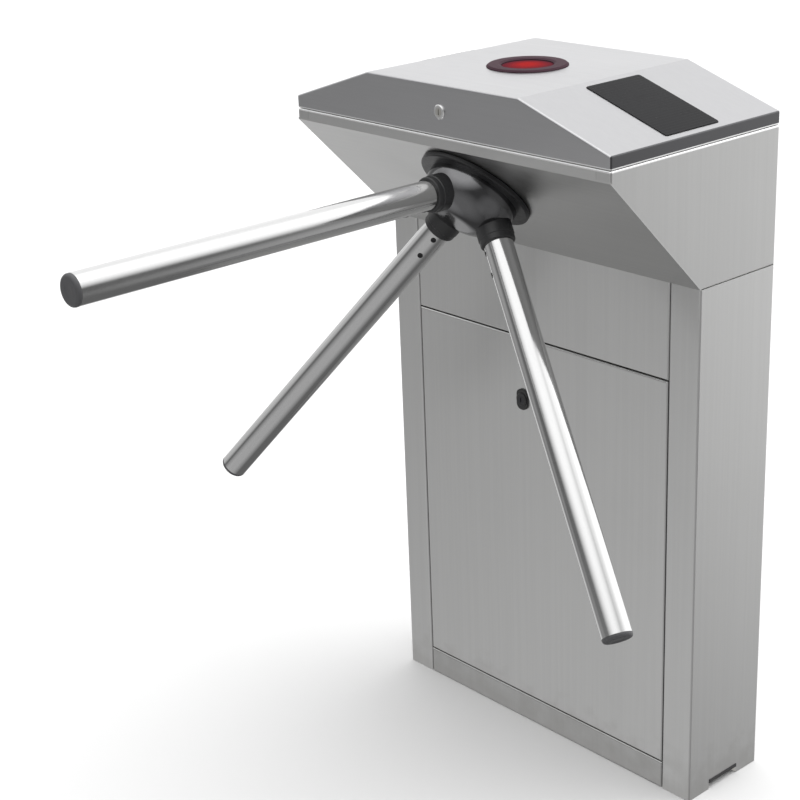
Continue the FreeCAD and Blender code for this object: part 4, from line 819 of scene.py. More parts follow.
    @classmethod
    def wound(cls, name: str, radius: float, wire: float, pitch: float, turns: int) -> Piece:
        """Wind a wire about Z: a ring of its section is screwed upwards, and its ends are closed.

        Args:
            name: Name of the piece.
            radius: Radius of the coil's centre line.
            wire: Radius of the wire.
            pitch: Rise of a turn.
            turns: Number of turns.

        Returns:
            The new object.
        """
        cls.clear()
        bpy.ops.mesh.primitive_circle_add(vertices=cls.WIRE_SIDES, radius=wire,
                                          location=(radius, 0.0, 0.0),
                                          rotation=(math.radians(90.0), 0.0, 0.0))
        obj = bpy.context.object
        obj.name = name
        bpy.ops.object.transform_apply(location=True, rotation=True, scale=True)
        screw = obj.modifiers.new("winding", "SCREW")
        screw.axis = "Z"
        screw.angle = 2.0 * math.pi
        screw.screw_offset = pitch
        screw.iterations = turns
        screw.steps = cls.WINDING_STEPS
        screw.render_steps = cls.WINDING_STEPS
        bpy.ops.object.modifier_apply(modifier=screw.name)
        bpy.ops.object.mode_set(mode="EDIT")
        bpy.ops.mesh.select_all(action="SELECT")
        bpy.ops.mesh.remove_doubles(threshold=cls.MERGE)
        bpy.ops.mesh.fill_holes(sides=0)
        bpy.ops.mesh.select_all(action="SELECT")
        bpy.ops.mesh.normals_make_consistent(inside=False)
        bpy.ops.object.mode_set(mode="OBJECT")
        return obj

    @classmethod
    def join(cls, name: str, parts: Sequence[Piece]) -> Piece:
        """Join finished shapes into one object.

        Args:
            name: Name of the joined object.
            parts: Shapes at the origin, used up.

        Returns:
            The joined object.
        """
        cls.clear()
        for part in parts:
            part.select_set(True)
        bpy.context.view_layer.objects.active = parts[0]
        bpy.ops.object.join()
        parts[0].name = name
        parts[0].data.name = name
        return parts[0]

    @classmethod
    def cut(cls, obj: Piece, tool: Piece, keep: bool = False) -> None:
        """Cut one piece out of another, or melt it in, and remove the tool.

        Args:
            obj: Piece that stays.
            tool: Piece that is used up.
            keep: True to add the tool's body, False to take it away.
        """
        boolean = obj.modifiers.new("cut", "BOOLEAN")
        boolean.operation = "UNION" if keep else "DIFFERENCE"
        boolean.solver = "EXACT"
        boolean.object = tool
        cls.clear()
        obj.select_set(True)
        bpy.context.view_layer.objects.active = obj
        bpy.ops.object.modifier_apply(modifier=boolean.name)
        bpy.ops.object.mode_set(mode="EDIT")
        bpy.ops.mesh.select_all(action="SELECT")
        bpy.ops.mesh.dissolve_degenerate(threshold=cls.MERGE)
        bpy.ops.object.mode_set(mode="OBJECT")
        mesh = tool.data
        bpy.data.objects.remove(tool)
        bpy.data.meshes.remove(mesh)

    @classmethod
    def place(cls, obj: Piece, frame: Matrix) -> Piece:
        """Carry a piece to a frame and put its place into its mesh.

        Args:
            obj: Piece to move.
            frame: Frame that it was modelled in.

        Returns:
            The same object, at the origin.
        """
        cls.clear()
        obj.select_set(True)
        bpy.context.view_layer.objects.active = obj
        obj.matrix_world = frame
        bpy.ops.object.transform_apply(location=True, rotation=True, scale=True)
        return obj

    @classmethod
    def smooth(cls, obj: Piece, angle: float = 32.0) -> None:
        """Shade a piece smooth but for its sharp edges, and keep its large faces flat.

        Args:
            obj: Piece to shade.
            angle: Least angle in degrees that stays sharp.
        """
        cls.clear()
        obj.select_set(True)
        bpy.context.view_layer.objects.active = obj
        bpy.ops.object.shade_smooth_by_angle(angle=math.radians(angle))
        weigh = obj.modifiers.new("flat_faces", "WEIGHTED_NORMAL")
        weigh.keep_sharp = True
        bpy.ops.object.modifier_apply(modifier=weigh.name)

    @classmethod
    def copies(cls, pattern: Piece, name: str, frames: Sequence[Matrix]) -> Piece:
        """Copy a piece to several frames and join the copies into one object.

        Args:
            pattern: Piece modelled at the origin, which is used up.
            name: Name of the joined object.
            frames: Frame of each copy.

        Returns:
            The joined object, at the origin.
        """
        made = []
        for index, frame in enumerate(frames):
            copy = pattern.copy()
            copy.data = pattern.data.copy()
            copy.name = f"{name}_{index}"
            bpy.context.scene.collection.objects.link(copy)
            made.append(cls.place(copy, frame))
        mesh = pattern.data
        bpy.data.objects.remove(pattern)
        bpy.data.meshes.remove(mesh)
        return cls.join(name, made)


class Dresser:
    """Gives finishes to pieces and nodes, and says what was done."""

    def __init__(self, nodes: dict[str, Piece]) -> None:
        """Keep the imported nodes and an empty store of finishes."""
        self.nodes = nodes
        self.made: dict[str, bpy.types.Material] = {}

    def material(self, finish: Finish) -> bpy.types.Material:
        """Look up a finish's material, and make it the first time.

        Args:
            finish: Finish to look up.

        Returns:
            Its material.
        """
        if finish.name not in self.made:
            self.made[finish.name] = finish.build()
        return self.made[finish.name]

    def dress(self, finish: Finish, *names: str) -> None:
        """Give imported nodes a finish.

        Args:
            finish: Finish that they get.
            names: Nodes to dress.
        """
        for name in names:
            mesh = self.nodes[name].data
            mesh.materials.clear()
            mesh.materials.append(self.material(finish))
            LOG.info("node %s: %s", name, finish.name)

    def piece(self, obj: Piece, finish: Finish, body: str, slot: str, *replaced: str) -> Piece:
        """Finish a new piece and hang it on its body.

        Args:
            obj: Piece in its place.
            finish: Finish that it gets.
            body: Body that it rides on.
            slot: Record slot of its finish; not used.
            replaced: Nodes that it stands for.

        Returns:
            The same object.
        """
        obj.data.materials.clear()
        obj.data.materials.append(self.material(finish))
        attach(obj, body)
        if replaced:
            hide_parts(*replaced)
        LOG.info("piece %s: %s on %s", obj.name, finish.name, body)
        return obj


def arc(middle: Span, radius: float, steps: int, start: float = 0.0, end: float = 90.0) -> list[Span]:
    """Points of an arc in a turned profile.

    Args:
        middle: Radius and height of the arc's centre.
        radius: Radius of the arc.
        steps: Number of steps along it.
        start: First angle in degrees, 0 pointing outwards and 90 up.
        end: Last angle in degrees.

    Returns:
        The points in order.
    """
    angles = [math.radians(start + (end - start) * k / steps) for k in range(steps + 1)]
    return [(middle[0] + radius * math.cos(a), middle[1] + radius * math.sin(a)) for a in angles]


def raised(profile: Profile, height: float) -> list[Span]:
    """Move a turned profile up.

    Args:
        profile: Radius and rise of each ring.
        height: Height that the rises are counted from.

    Returns:
        Radius and height of each ring.
    """
    return [(radius, height + rise) for radius, rise in profile]


def turn(angle: float, axis: str) -> Matrix:
    """Make a turn about an axis.

    Args:
        angle: Angle in degrees.
        axis: Name of the axis.

    Returns:
        The turn as a matrix.
    """
    return Matrix.Rotation(math.radians(angle), 4, axis)


# Rest frame of the rotor, with Z out of the hub along its axis.
HUB_POINT = Vector((0.0, -0.177896, 0.836896))
HUB_LEAN = 135.0
HUB_FRAME = Matrix.Translation(HUB_POINT) @ turn(HUB_LEAN, "X")

# Heights between which the folds get a painted highlight, and the distance and height that bound the lid's
# end faces, which get painted shade.
HEAD_PAINTED_HIGHLIGHT: Span = (0.9090, 0.9118)
LID_PAINTED_HIGHLIGHT: Span = (0.9128, 0.9145)
LID_SHADED_ENDS: Span = (0.2797, 0.9300)

# The head, sill and lid sheets are the same stainless steel in darker tones: painted shade where these
# sheets lie darker.
PANEL_UPRIGHT = BrushedSteel("stainless_upright", Grain.ALONG_Z, dusty=True)
PANEL_LEVEL = BrushedSteel("stainless_level", Grain.ALONG_X, tone=(0.61, 0.61, 0.605), painted_highlight=HEAD_PAINTED_HIGHLIGHT)
FRONT_STEEL = BrushedSteel("stainless_front", Grain.ALONG_Z)
HEAD_STEEL = BrushedSteel("stainless_head", Grain.ALONG_Z, tone=(0.58, 0.58, 0.575), painted_highlight=HEAD_PAINTED_HIGHLIGHT)
SILL_STEEL = BrushedSteel("stainless_sill", Grain.ALONG_Z, tone=(0.52, 0.52, 0.515), dusty=True)
LID_STEEL = BrushedSteel("stainless_lid", Grain.ALONG_X, tone=(0.48, 0.48, 0.49), smudged=0.4,
                         ends=LID_SHADED_ENDS, painted_highlight=LID_PAINTED_HIGHLIGHT)
ARM_STEEL = TurnedMetal("polished_arm_steel", (0.64, 0.64, 0.64), rough=0.13, spread=0.05,
                        contrast=0.05, grain=420.0)
CAST_HUB = TurnedMetal("dark_cast_hub", (0.17, 0.17, 0.175), rough=0.12, spread=0.05, contrast=0.08)
BLACK_METAL = TurnedMetal("black_flange_coat", (0.012, 0.012, 0.013), rough=0.34, metallic=0.0,
                          contrast=0.25, shine=0.3)
BLACK_PLASTIC = Plastic("black_moulding", (0.016, 0.016, 0.017), rough=0.42)
GREY_PLASTIC = Plastic("grey_end_plug", (0.055, 0.055, 0.058), rough=0.5)
GLOSS_PLASTIC = Plastic("dark_bezel_moulding", (0.05, 0.028, 0.036), rough=0.45, shine=0.01)
SEAL_RUBBER = Plastic("seal_rubber", (0.13, 0.13, 0.13), rough=0.75, texture=400.0)
PLATED_STEEL = TurnedMetal("plated_steel", (0.58, 0.57, 0.54), rough=0.32)
DARK_STEEL = TurnedMetal("blackened_steel", (0.07, 0.07, 0.075), rough=0.4)
BLACK_OXIDE = TurnedMetal("black_oxide_screw", (0.014, 0.014, 0.015), rough=0.5, metallic=0.0, shine=0.25)
MACHINED = TurnedMetal("machined_aluminium", (0.72, 0.73, 0.74), rough=0.36, grain=180.0)
SPRING_STEEL = TurnedMetal("spring_steel", (0.32, 0.32, 0.33), rough=0.3)
BRASS = TurnedMetal("bush_brass", (0.72, 0.5, 0.2), rough=0.3)
COPPER_WIRE = TurnedMetal("coil_copper", (0.55, 0.22, 0.09), rough=0.32, grain=900.0)
COIL_PAINT = TurnedMetal("coil_frame_paint", (0.03, 0.03, 0.032), rough=0.45, metallic=0.0)
BOARD_RESIST = Plastic("board_green", (0.012, 0.11, 0.045), rough=0.35, texture=1400.0, coat=0.3)
TERMINAL_PLASTIC = Plastic("terminal_green", (0.03, 0.16, 0.06), rough=0.42)
LOCK_CHROME = TurnedMetal("lock_chrome", (0.74, 0.74, 0.74), rough=0.14, spread=0.05, contrast=0.05)


@dataclass
class Rotor:
    """Hub, arms and their fittings, in metres along the rotor axis or along an arm."""

    dresser: Dresser
    arms: int = 3
    lean: float = 45.0
    set_in: float = 0.008
    seat: float = 0.058
    reach: float = 0.611
    hub_bore: float = 0.016
    flange_radius: float = 0.078
    flange_base: float = 0.001
    flange_top: float = 0.007
    flange_edge: float = 0.0022
    flange_ring: float = 0.064
    flange_sides: int = 128
    dome_radius: float = 0.062
    dome_side: float = 0.014
    dome_sides: int = 160
    crown_radius: float = 0.020
    crown_ring: float = 0.010
    crown_steps: int = 28
    core_radius: float = 0.0174
    core_chamfer: float = 0.002
    core_sides: int = 48
    spigot_end: float = 0.140
    tip: float = 0.001
    tube_radius: float = 0.019
    tube_wall: float = 0.0015
    tube_sides: int = 96
    collar_radius: float = 0.0235
    collar_length: float = 0.032
    collar_gap: float = 0.0001
    collar_mouth: float = 0.008
    collar_slope: float = 0.001
    collar_step: float = 0.0008
    collar_lip: float = 0.002
    cap: float = 0.006
    cap_plug: float = 0.014
    cap_gap: float = 0.0002
    cap_chamfer: float = 0.0004
    cap_edge: float = 0.0045
    cap_dish: Profile = ((0.008, 0.0), (0.0072, -0.0004), (0.001, -0.0004))
    screw_radius: float = 0.0036
    screw_sunk: float = 0.0004
    screw_proud: float = 0.0008
    screw_top: Profile = ((0.0036, -0.0003), (0.0031, 0.0), (0.0015, 0.0), (0.0014, -0.0005),
                          (0.0003, -0.0006))
    screw_sides: int = 24
    screw_stations: tuple[float, ...] = (0.098, 0.128)
    shank_radius: float = 0.0025

    def arm_frame(self, index: int) -> Matrix:
        """Frame of an arm, with Z along its tube.

        Args:
            index: Arm, counted from 0.

        Returns:
            The frame at rest.
        """
        set_in = Matrix.Translation((0.0, 0.0, -self.set_in))
        return HUB_FRAME @ set_in @ turn(360.0 / self.arms * index, "Z") @ turn(-self.lean, "X")

    def build(self) -> None:
        """Model and dress the rotor."""
        self.flange()
        self.dome()
        for index in range(self.arms):
            self.tube(index)
            self.collar(index)
        self.caps()
        self.screws()
        dress = self.dresser.dress
        dress(PLATED_STEEL, "main_shaft", "main_gear", "shaft_nut")
        dress(DARK_STEEL, "lock_wheel")
        dress(MACHINED, "encoder_disc")

    def flange(self) -> None:
        """Thin black brim with a rounded edge."""
        edge = self.flange_edge
        profile = [(self.hub_bore, self.flange_base), (self.flange_radius, self.flange_base)]
        profile += arc((self.flange_radius - edge, self.flange_top - edge), edge, steps=5)
        profile += [(self.flange_ring, self.flange_top), (self.hub_bore, self.flange_top)]
        obj = Bench.turned("hub_brim", profile, self.flange_sides, Ring.WALL)
        Bench.smooth(Bench.place(obj, HUB_FRAME))
        self.dresser.piece(obj, BLACK_METAL, "rotor", "black_flange", "hub_flange")

    def dome(self) -> None:
        """Dark dome with one full round from its side to its crown, and a spigot in each arm."""
        shoulder = self.dome_radius - self.crown_radius
        top = self.dome_side + shoulder
        profile = [(self.hub_bore, self.flange_top), (self.dome_radius, self.flange_top)]
        profile += arc((self.crown_radius, self.dome_side), shoulder, self.crown_steps)
        profile += [(self.crown_ring, top), (self.tip, top)]
        parts = [Bench.place(Bench.turned("hub_body", profile, self.dome_sides), HUB_FRAME)]
        edge = self.core_chamfer
        core = [(self.core_radius, self.seat - edge), (self.core_radius, self.spigot_end - edge),
                (self.core_radius - edge, self.spigot_end), (self.tip, self.spigot_end)]
        for index in range(self.arms):
            spigot = Bench.turned("spigot", core, self.core_sides)
            parts.append(Bench.place(spigot, self.arm_frame(index)))
        obj = Bench.join("hub_body", parts)
        Bench.smooth(obj, angle=40.0)
        self.dresser.piece(obj, CAST_HUB, "rotor", "dark_cast_hub", "hub_dome")

    def tube(self, index: int) -> None:
        """Polished tube of an arm with its open wall.

        Args:
            index: Arm, counted from 0.
        """
        end = self.reach - self.cap
        bore = self.tube_radius - self.tube_wall
        profile = [(bore, self.seat), (self.tube_radius, self.seat), (self.tube_radius, end), (bore, end)]
        obj = Bench.turned(f"arm_{index + 1}", profile, self.tube_sides, Ring.WALL)
        Bench.smooth(Bench.place(obj, self.arm_frame(index)))
        self.dresser.piece(obj, ARM_STEEL, "rotor", "arm_steel", f"arm_tube_{index + 1}")

    def collar(self, index: int) -> None:
        """Black clamp sleeve with a stepped, rounded mouth.

        Args:
            index: Arm, counted from 0.
        """
        bore = self.tube_radius + self.collar_gap
        end = self.seat + self.collar_length
        step = end - self.collar_mouth
        mouth = self.collar_radius - self.collar_step
        lip = self.collar_lip
        profile = [(bore, self.seat), (self.collar_radius, self.seat),
                   (self.collar_radius, step - self.collar_slope), (mouth, step)]
        profile += arc((mouth - lip, end - lip), lip, steps=5)
        profile += [(bore, end)]
        obj = Bench.turned(f"arm_sleeve_{index + 1}", profile, self.tube_sides, Ring.WALL)
        Bench.smooth(Bench.place(obj, self.arm_frame(index)))
        self.dresser.piece(obj, BLACK_PLASTIC, "rotor", "black_plastic", f"arm_collar_{index + 1}")

    def caps(self) -> None:
        """Rounded plugs in the arms' ends, modelled once and copied."""
        base = self.reach - self.cap
        plug = self.tube_radius - self.tube_wall - self.cap_gap
        edge = self.cap_edge
        profile = [(plug, base - self.cap_plug), (plug, base), (self.tube_radius - self.cap_gap, base),
                   (self.tube_radius, base + self.cap_chamfer)]
        profile += arc((self.tube_radius - edge, self.reach - edge), edge, steps=7)
        profile += raised(self.cap_dish, self.reach)
        pattern = Bench.turned("arm_plug", profile, self.tube_sides)
        Bench.smooth(pattern)
        obj = Bench.copies(pattern, "arm_plugs", [self.arm_frame(k) for k in range(self.arms)])
        self.dresser.piece(obj, GREY_PLASTIC, "rotor", "grey_plastic", "arm_caps")

    def screws(self) -> None:
        """Low socket screws that clamp the tubes to the spigots."""
        seat = self.tube_radius - self.screw_sunk
        shank = self.shank_radius
        profile = [(shank, self.core_radius), (shank, seat), (self.screw_radius, seat)]
        profile += raised(self.screw_top, self.tube_radius + self.screw_proud)
        pattern = Bench.turned("set_screw", profile, self.screw_sides)
        Bench.smooth(pattern)
        frames = []
        for index in range(self.arms):
            for station in self.screw_stations:
                along = Matrix.Translation((0.0, 0.0, station))
                frames.append(self.arm_frame(index) @ along @ turn(90.0, "X"))
        obj = Bench.copies(pattern, "arm_set_screws", frames)
        self.dresser.piece(obj, BLACK_OXIDE, "rotor", "plated_steel", "arm_screws")


@dataclass
class Lid:
    """Lid, lamp, reader glasses and lid lock."""

    dresser: Dresser
    lamp_place: Point = (0.0, -0.0825, 0.977)
    lamp_proud: float = 0.003
    neck: float = 0.003
    neck_radius: float = 0.0397
    bezel_radius: float = 0.053
    bezel_rim: float = 0.0009
    bezel_bevel: float = 0.003
    bezel_lip: float = 0.004
    bezel_edge: float = 0.0011
    bezel_sides: int = 128
    lens_radius: float = 0.0335
    lens_gap: float = 0.0003
    lens_edge: float = 0.0002
    lens_crown: float = 0.0016
    lens_rings: int = 9
    lens_tip: float = 0.0008
    lens_sides: int = 96
    groove_share: float = 0.02
    groove_depth: float = 0.00018
    reader_length: float = 0.134
    reader_width: float = 0.098
    reader_proud: float = 0.001
    reader_glass: float = 0.003
    reader_corner: float = 0.004
    reader_edge: float = 0.0006
    slope_middle: Point = (0.208, -0.0825, 0.953)
    slope_rise: float = 0.048
    slope_run: float = 0.146

    def build(self) -> None:
        """Model and dress the lid."""
        self.bezel()
        self.lens()
        self.readers()
        dress = self.dresser.dress
        dress(LID_STEEL, "lid_shell")
        dress(PANEL_LEVEL, "lid_hinge_moving")
        dress(BLACK_PLASTIC, "indicator_housing", "reader_housings")
        dress(LOCK_CHROME, "lid_lock_barrel")
        dress(PLATED_STEEL, "lid_lock_cam")

    def bezel(self) -> None:
        """Dark ring round the lamp with two soft bevels."""
        bore = self.lens_radius + self.lens_gap
        edge = self.bezel_edge
        crest = self.lamp_proud - edge
        profile = [(bore, -self.neck), (self.neck_radius, -self.neck), (self.neck_radius, 0.0),
                   (self.bezel_radius, 0.0), (self.bezel_radius, self.bezel_rim)]
        profile += arc((self.bezel_radius - self.bezel_bevel, crest), edge, steps=3, start=60.0)
        profile += arc((bore + self.bezel_lip, crest), edge, steps=3, start=90.0, end=130.0)
        profile += [(bore, self.lamp_proud / 2)]
        obj = Bench.turned("lamp_bezel", profile, self.bezel_sides, Ring.WALL)
        Bench.smooth(Bench.place(obj, Matrix.Translation(self.lamp_place)))
        self.dresser.piece(obj, GLOSS_PLASTIC, "lid", "dark_gloss_plastic", "indicator_bezel")

    def lens(self) -> None:
        """Crowned red lens with shallow moulded rings."""
        rise = self.lens_crown - self.lens_edge
        profile = [(self.lens_radius, -self.neck), (self.lens_radius, self.lens_edge)]
        for k in range(1, self.lens_rings):
            share = 1.0 - k / self.lens_rings
            height = self.lens_edge + rise * (1.0 - share * share)
            profile.append((self.lens_radius * (share + self.groove_share), height - self.groove_depth))
            profile.append((self.lens_radius * share, height))
        profile.append((self.lens_tip, self.lens_crown))
        obj = Bench.turned("lamp_lens", profile, self.lens_sides)
        Bench.smooth(Bench.place(obj, Matrix.Translation(self.lamp_place)), angle=60.0)
        finish = LitLens("red_lens", self.lamp_place, self.lens_radius)
        self.dresser.piece(obj, finish, "lid", "red_lens_plastic", "indicator_lens")

    def readers(self) -> None:
        """Dark glass plates in the two slopes, with rounded corners and a ground edge."""
        half = self.reader_glass / 2
        size = (self.reader_length, self.reader_width, self.reader_glass)
        pattern = Bench.block("reader_plate", size, (0.0, 0.0, self.reader_proud - half))
        Bench.bevel(pattern, self.reader_corner, segments=6, wanted=lambda a, b: abs(a.z - b.z) > half)
        Bench.soften(pattern, self.reader_edge, segments=3, angle=60.0)
        Bench.smooth(pattern)
        slope = math.degrees(math.atan2(self.slope_rise, self.slope_run))
        x, y, z = self.slope_middle
        frames = [Matrix.Translation((side * x, y, z)) @ turn(side * slope, "Y") for side in SIGNS]
        obj = Bench.copies(pattern, "reader_glasses", frames)
        self.dresser.piece(obj, DarkGlass("reader_black_glass"), "lid", "reader_glass", "reader_windows")


@dataclass
class Cabinet:
    """Column, head and door: finishes for the folded sheets, notch edgings and the screws on the back."""

    dresser: Dresser
    rear: float = 0.073
    panel_half: float = 0.232
    panel_screws: tuple[float, ...] = (0.03, 0.25, 0.47, 0.70)
    head_half: float = 0.25875
    head_screws: tuple[float, ...] = (0.752, 0.86)
    screw_inset: float = 0.012
    screw_sides: int = 24
    panel_screw: Profile = ((0.0048, -0.0002), (0.0048, 0.00028), (0.0036, 0.0008), (0.0022, 0.0008),
                            (0.0020, 0.0001), (0.0003, 0.0))
    hinge_leaf: float = 0.0015
    hinge_reach: float = 0.224
    hinge_rows: Span = (0.897, 0.928)
    hinge_screw_count: int = 9
    hinge_screw_proud: float = 0.0011
    hinge_screw: Profile = ((0.0032, -0.0002), (0.0032, 0.00033), (0.00256, 0.000825), (0.00144, 0.0011),
                            (0.0003, 0.0011))
    hinge_screw_slot: Point = (0.0096, 0.0007, 0.001)
    hinge_screw_turn: float = 0.7
    half_width: float = 0.281
    sheet: float = 0.0015
    notch_width: float = 0.060
    notch_height: float = 0.011
    edging_wall: float = 0.0008
    edging_drop: float = 0.0018
    edging_rise: float = 0.0038
    edging_gap: float = 0.0003
    edging_edge: float = 0.0006
    groove_slack: float = 0.0001

    def build(self) -> None:
        """Dress the sheets and add the notch edgings and the screws on the back."""
        dress = self.dresser.dress
        dress(PANEL_UPRIGHT, "left_pillar", "right_pillar", "column_rear_panel", "door_panel")
        dress(FRONT_STEEL, "column_front_panel")
        dress(HEAD_STEEL, "left_head_side", "right_head_side", "head_rear_panel")
        dress(SILL_STEEL, "door_sill")
        dress(PANEL_LEVEL, "slant_panel", "lid_hinge_fixed")
        dress(PLATED_STEEL, "base_plate", "lid_keeper")
        dress(SEAL_RUBBER, "lid_seal")
        dress(BLACK_PLASTIC, "door_lock_barrel")
        dress(DARK_STEEL, "door_lock_cam")
        self.notch_edging()
        self.rear_screws()
        self.hinge_screws("hinge_screws_fixed", "cabinet", self.hinge_rows[0])
        self.hinge_screws("hinge_screws_moving", "lid", self.hinge_rows[1])

    def notch_edging(self) -> None:
        """Rubber edging over the upper edge of each cable notch: a soft bar with a groove for the sheet.
        Its black also stands in part for the shade inside the notch, so the dark slit is partly painted
        shade.
        """
        middle = self.half_width - self.sheet / 2
        top = self.notch_height + self.edging_rise
        tall = self.edging_drop + self.edging_rise
        size = (self.sheet + 2.0 * self.edging_wall, self.notch_width - 2.0 * self.edging_gap, tall)
        pattern = Bench.block("edging", size, (middle, 0.0, top - tall / 2))
        Bench.soften(pattern, self.edging_edge, segments=3)
        size = (self.sheet + self.groove_slack, self.notch_width, 2.0 * self.edging_rise)
        Bench.cut(pattern, Bench.block("groove", size, (middle, 0.0, top)))
        Bench.smooth(pattern)
        obj = Bench.copies(pattern, "cable_notch_edging", [Matrix.Identity(4), turn(180.0, "Z")])
        self.dresser.piece(obj, BLACK_PLASTIC, "cabinet", "black_plastic")

    def rear_screws(self) -> None:
        """Countersunk screws along the edges of the rear panels."""
        pattern = Bench.turned("panel_screw", self.panel_screw, self.screw_sides)
        Bench.smooth(pattern)
        rows = ((self.panel_half, self.panel_screws), (self.head_half, self.head_screws))
        frames = []
        for half, heights in rows:
            for side in SIGNS:
                x = side * (half - self.screw_inset)
                frames += [Matrix.Translation((x, self.rear, z)) @ turn(-90.0, "X") for z in heights]
        obj = Bench.copies(pattern, "rear_panel_screws", frames)
        self.dresser.piece(obj, PLATED_STEEL, "cabinet", "plated_steel")

    def hinge_screws(self, name: str, body: str, height: float) -> None:
        """Small raised screws along one leaf of the lid hinge.

        Args:
            name: Name of the row.
            body: Body that carries the leaf.
            height: Height of the row.
        """
        pattern = Bench.turned("hinge_screw", self.hinge_screw, self.screw_sides)
        slot = Bench.block("slot", self.hinge_screw_slot, (0.0, 0.0, self.hinge_screw_proud))
        Bench.cut(pattern, slot)
        Bench.smooth(pattern)
        step = 2.0 * self.hinge_reach / (self.hinge_screw_count - 1)
        frames = []
        for k in range(self.hinge_screw_count):
            place = (k * step - self.hinge_reach, self.rear + self.hinge_leaf, height)
            driven = Matrix.Rotation(self.hinge_screw_turn * k, 4, "Z")
            frames.append(Matrix.Translation(place) @ turn(-90.0, "X") @ driven)
        self.dresser.piece(Bench.copies(pattern, name, frames), PLATED_STEEL, body, "plated_steel")


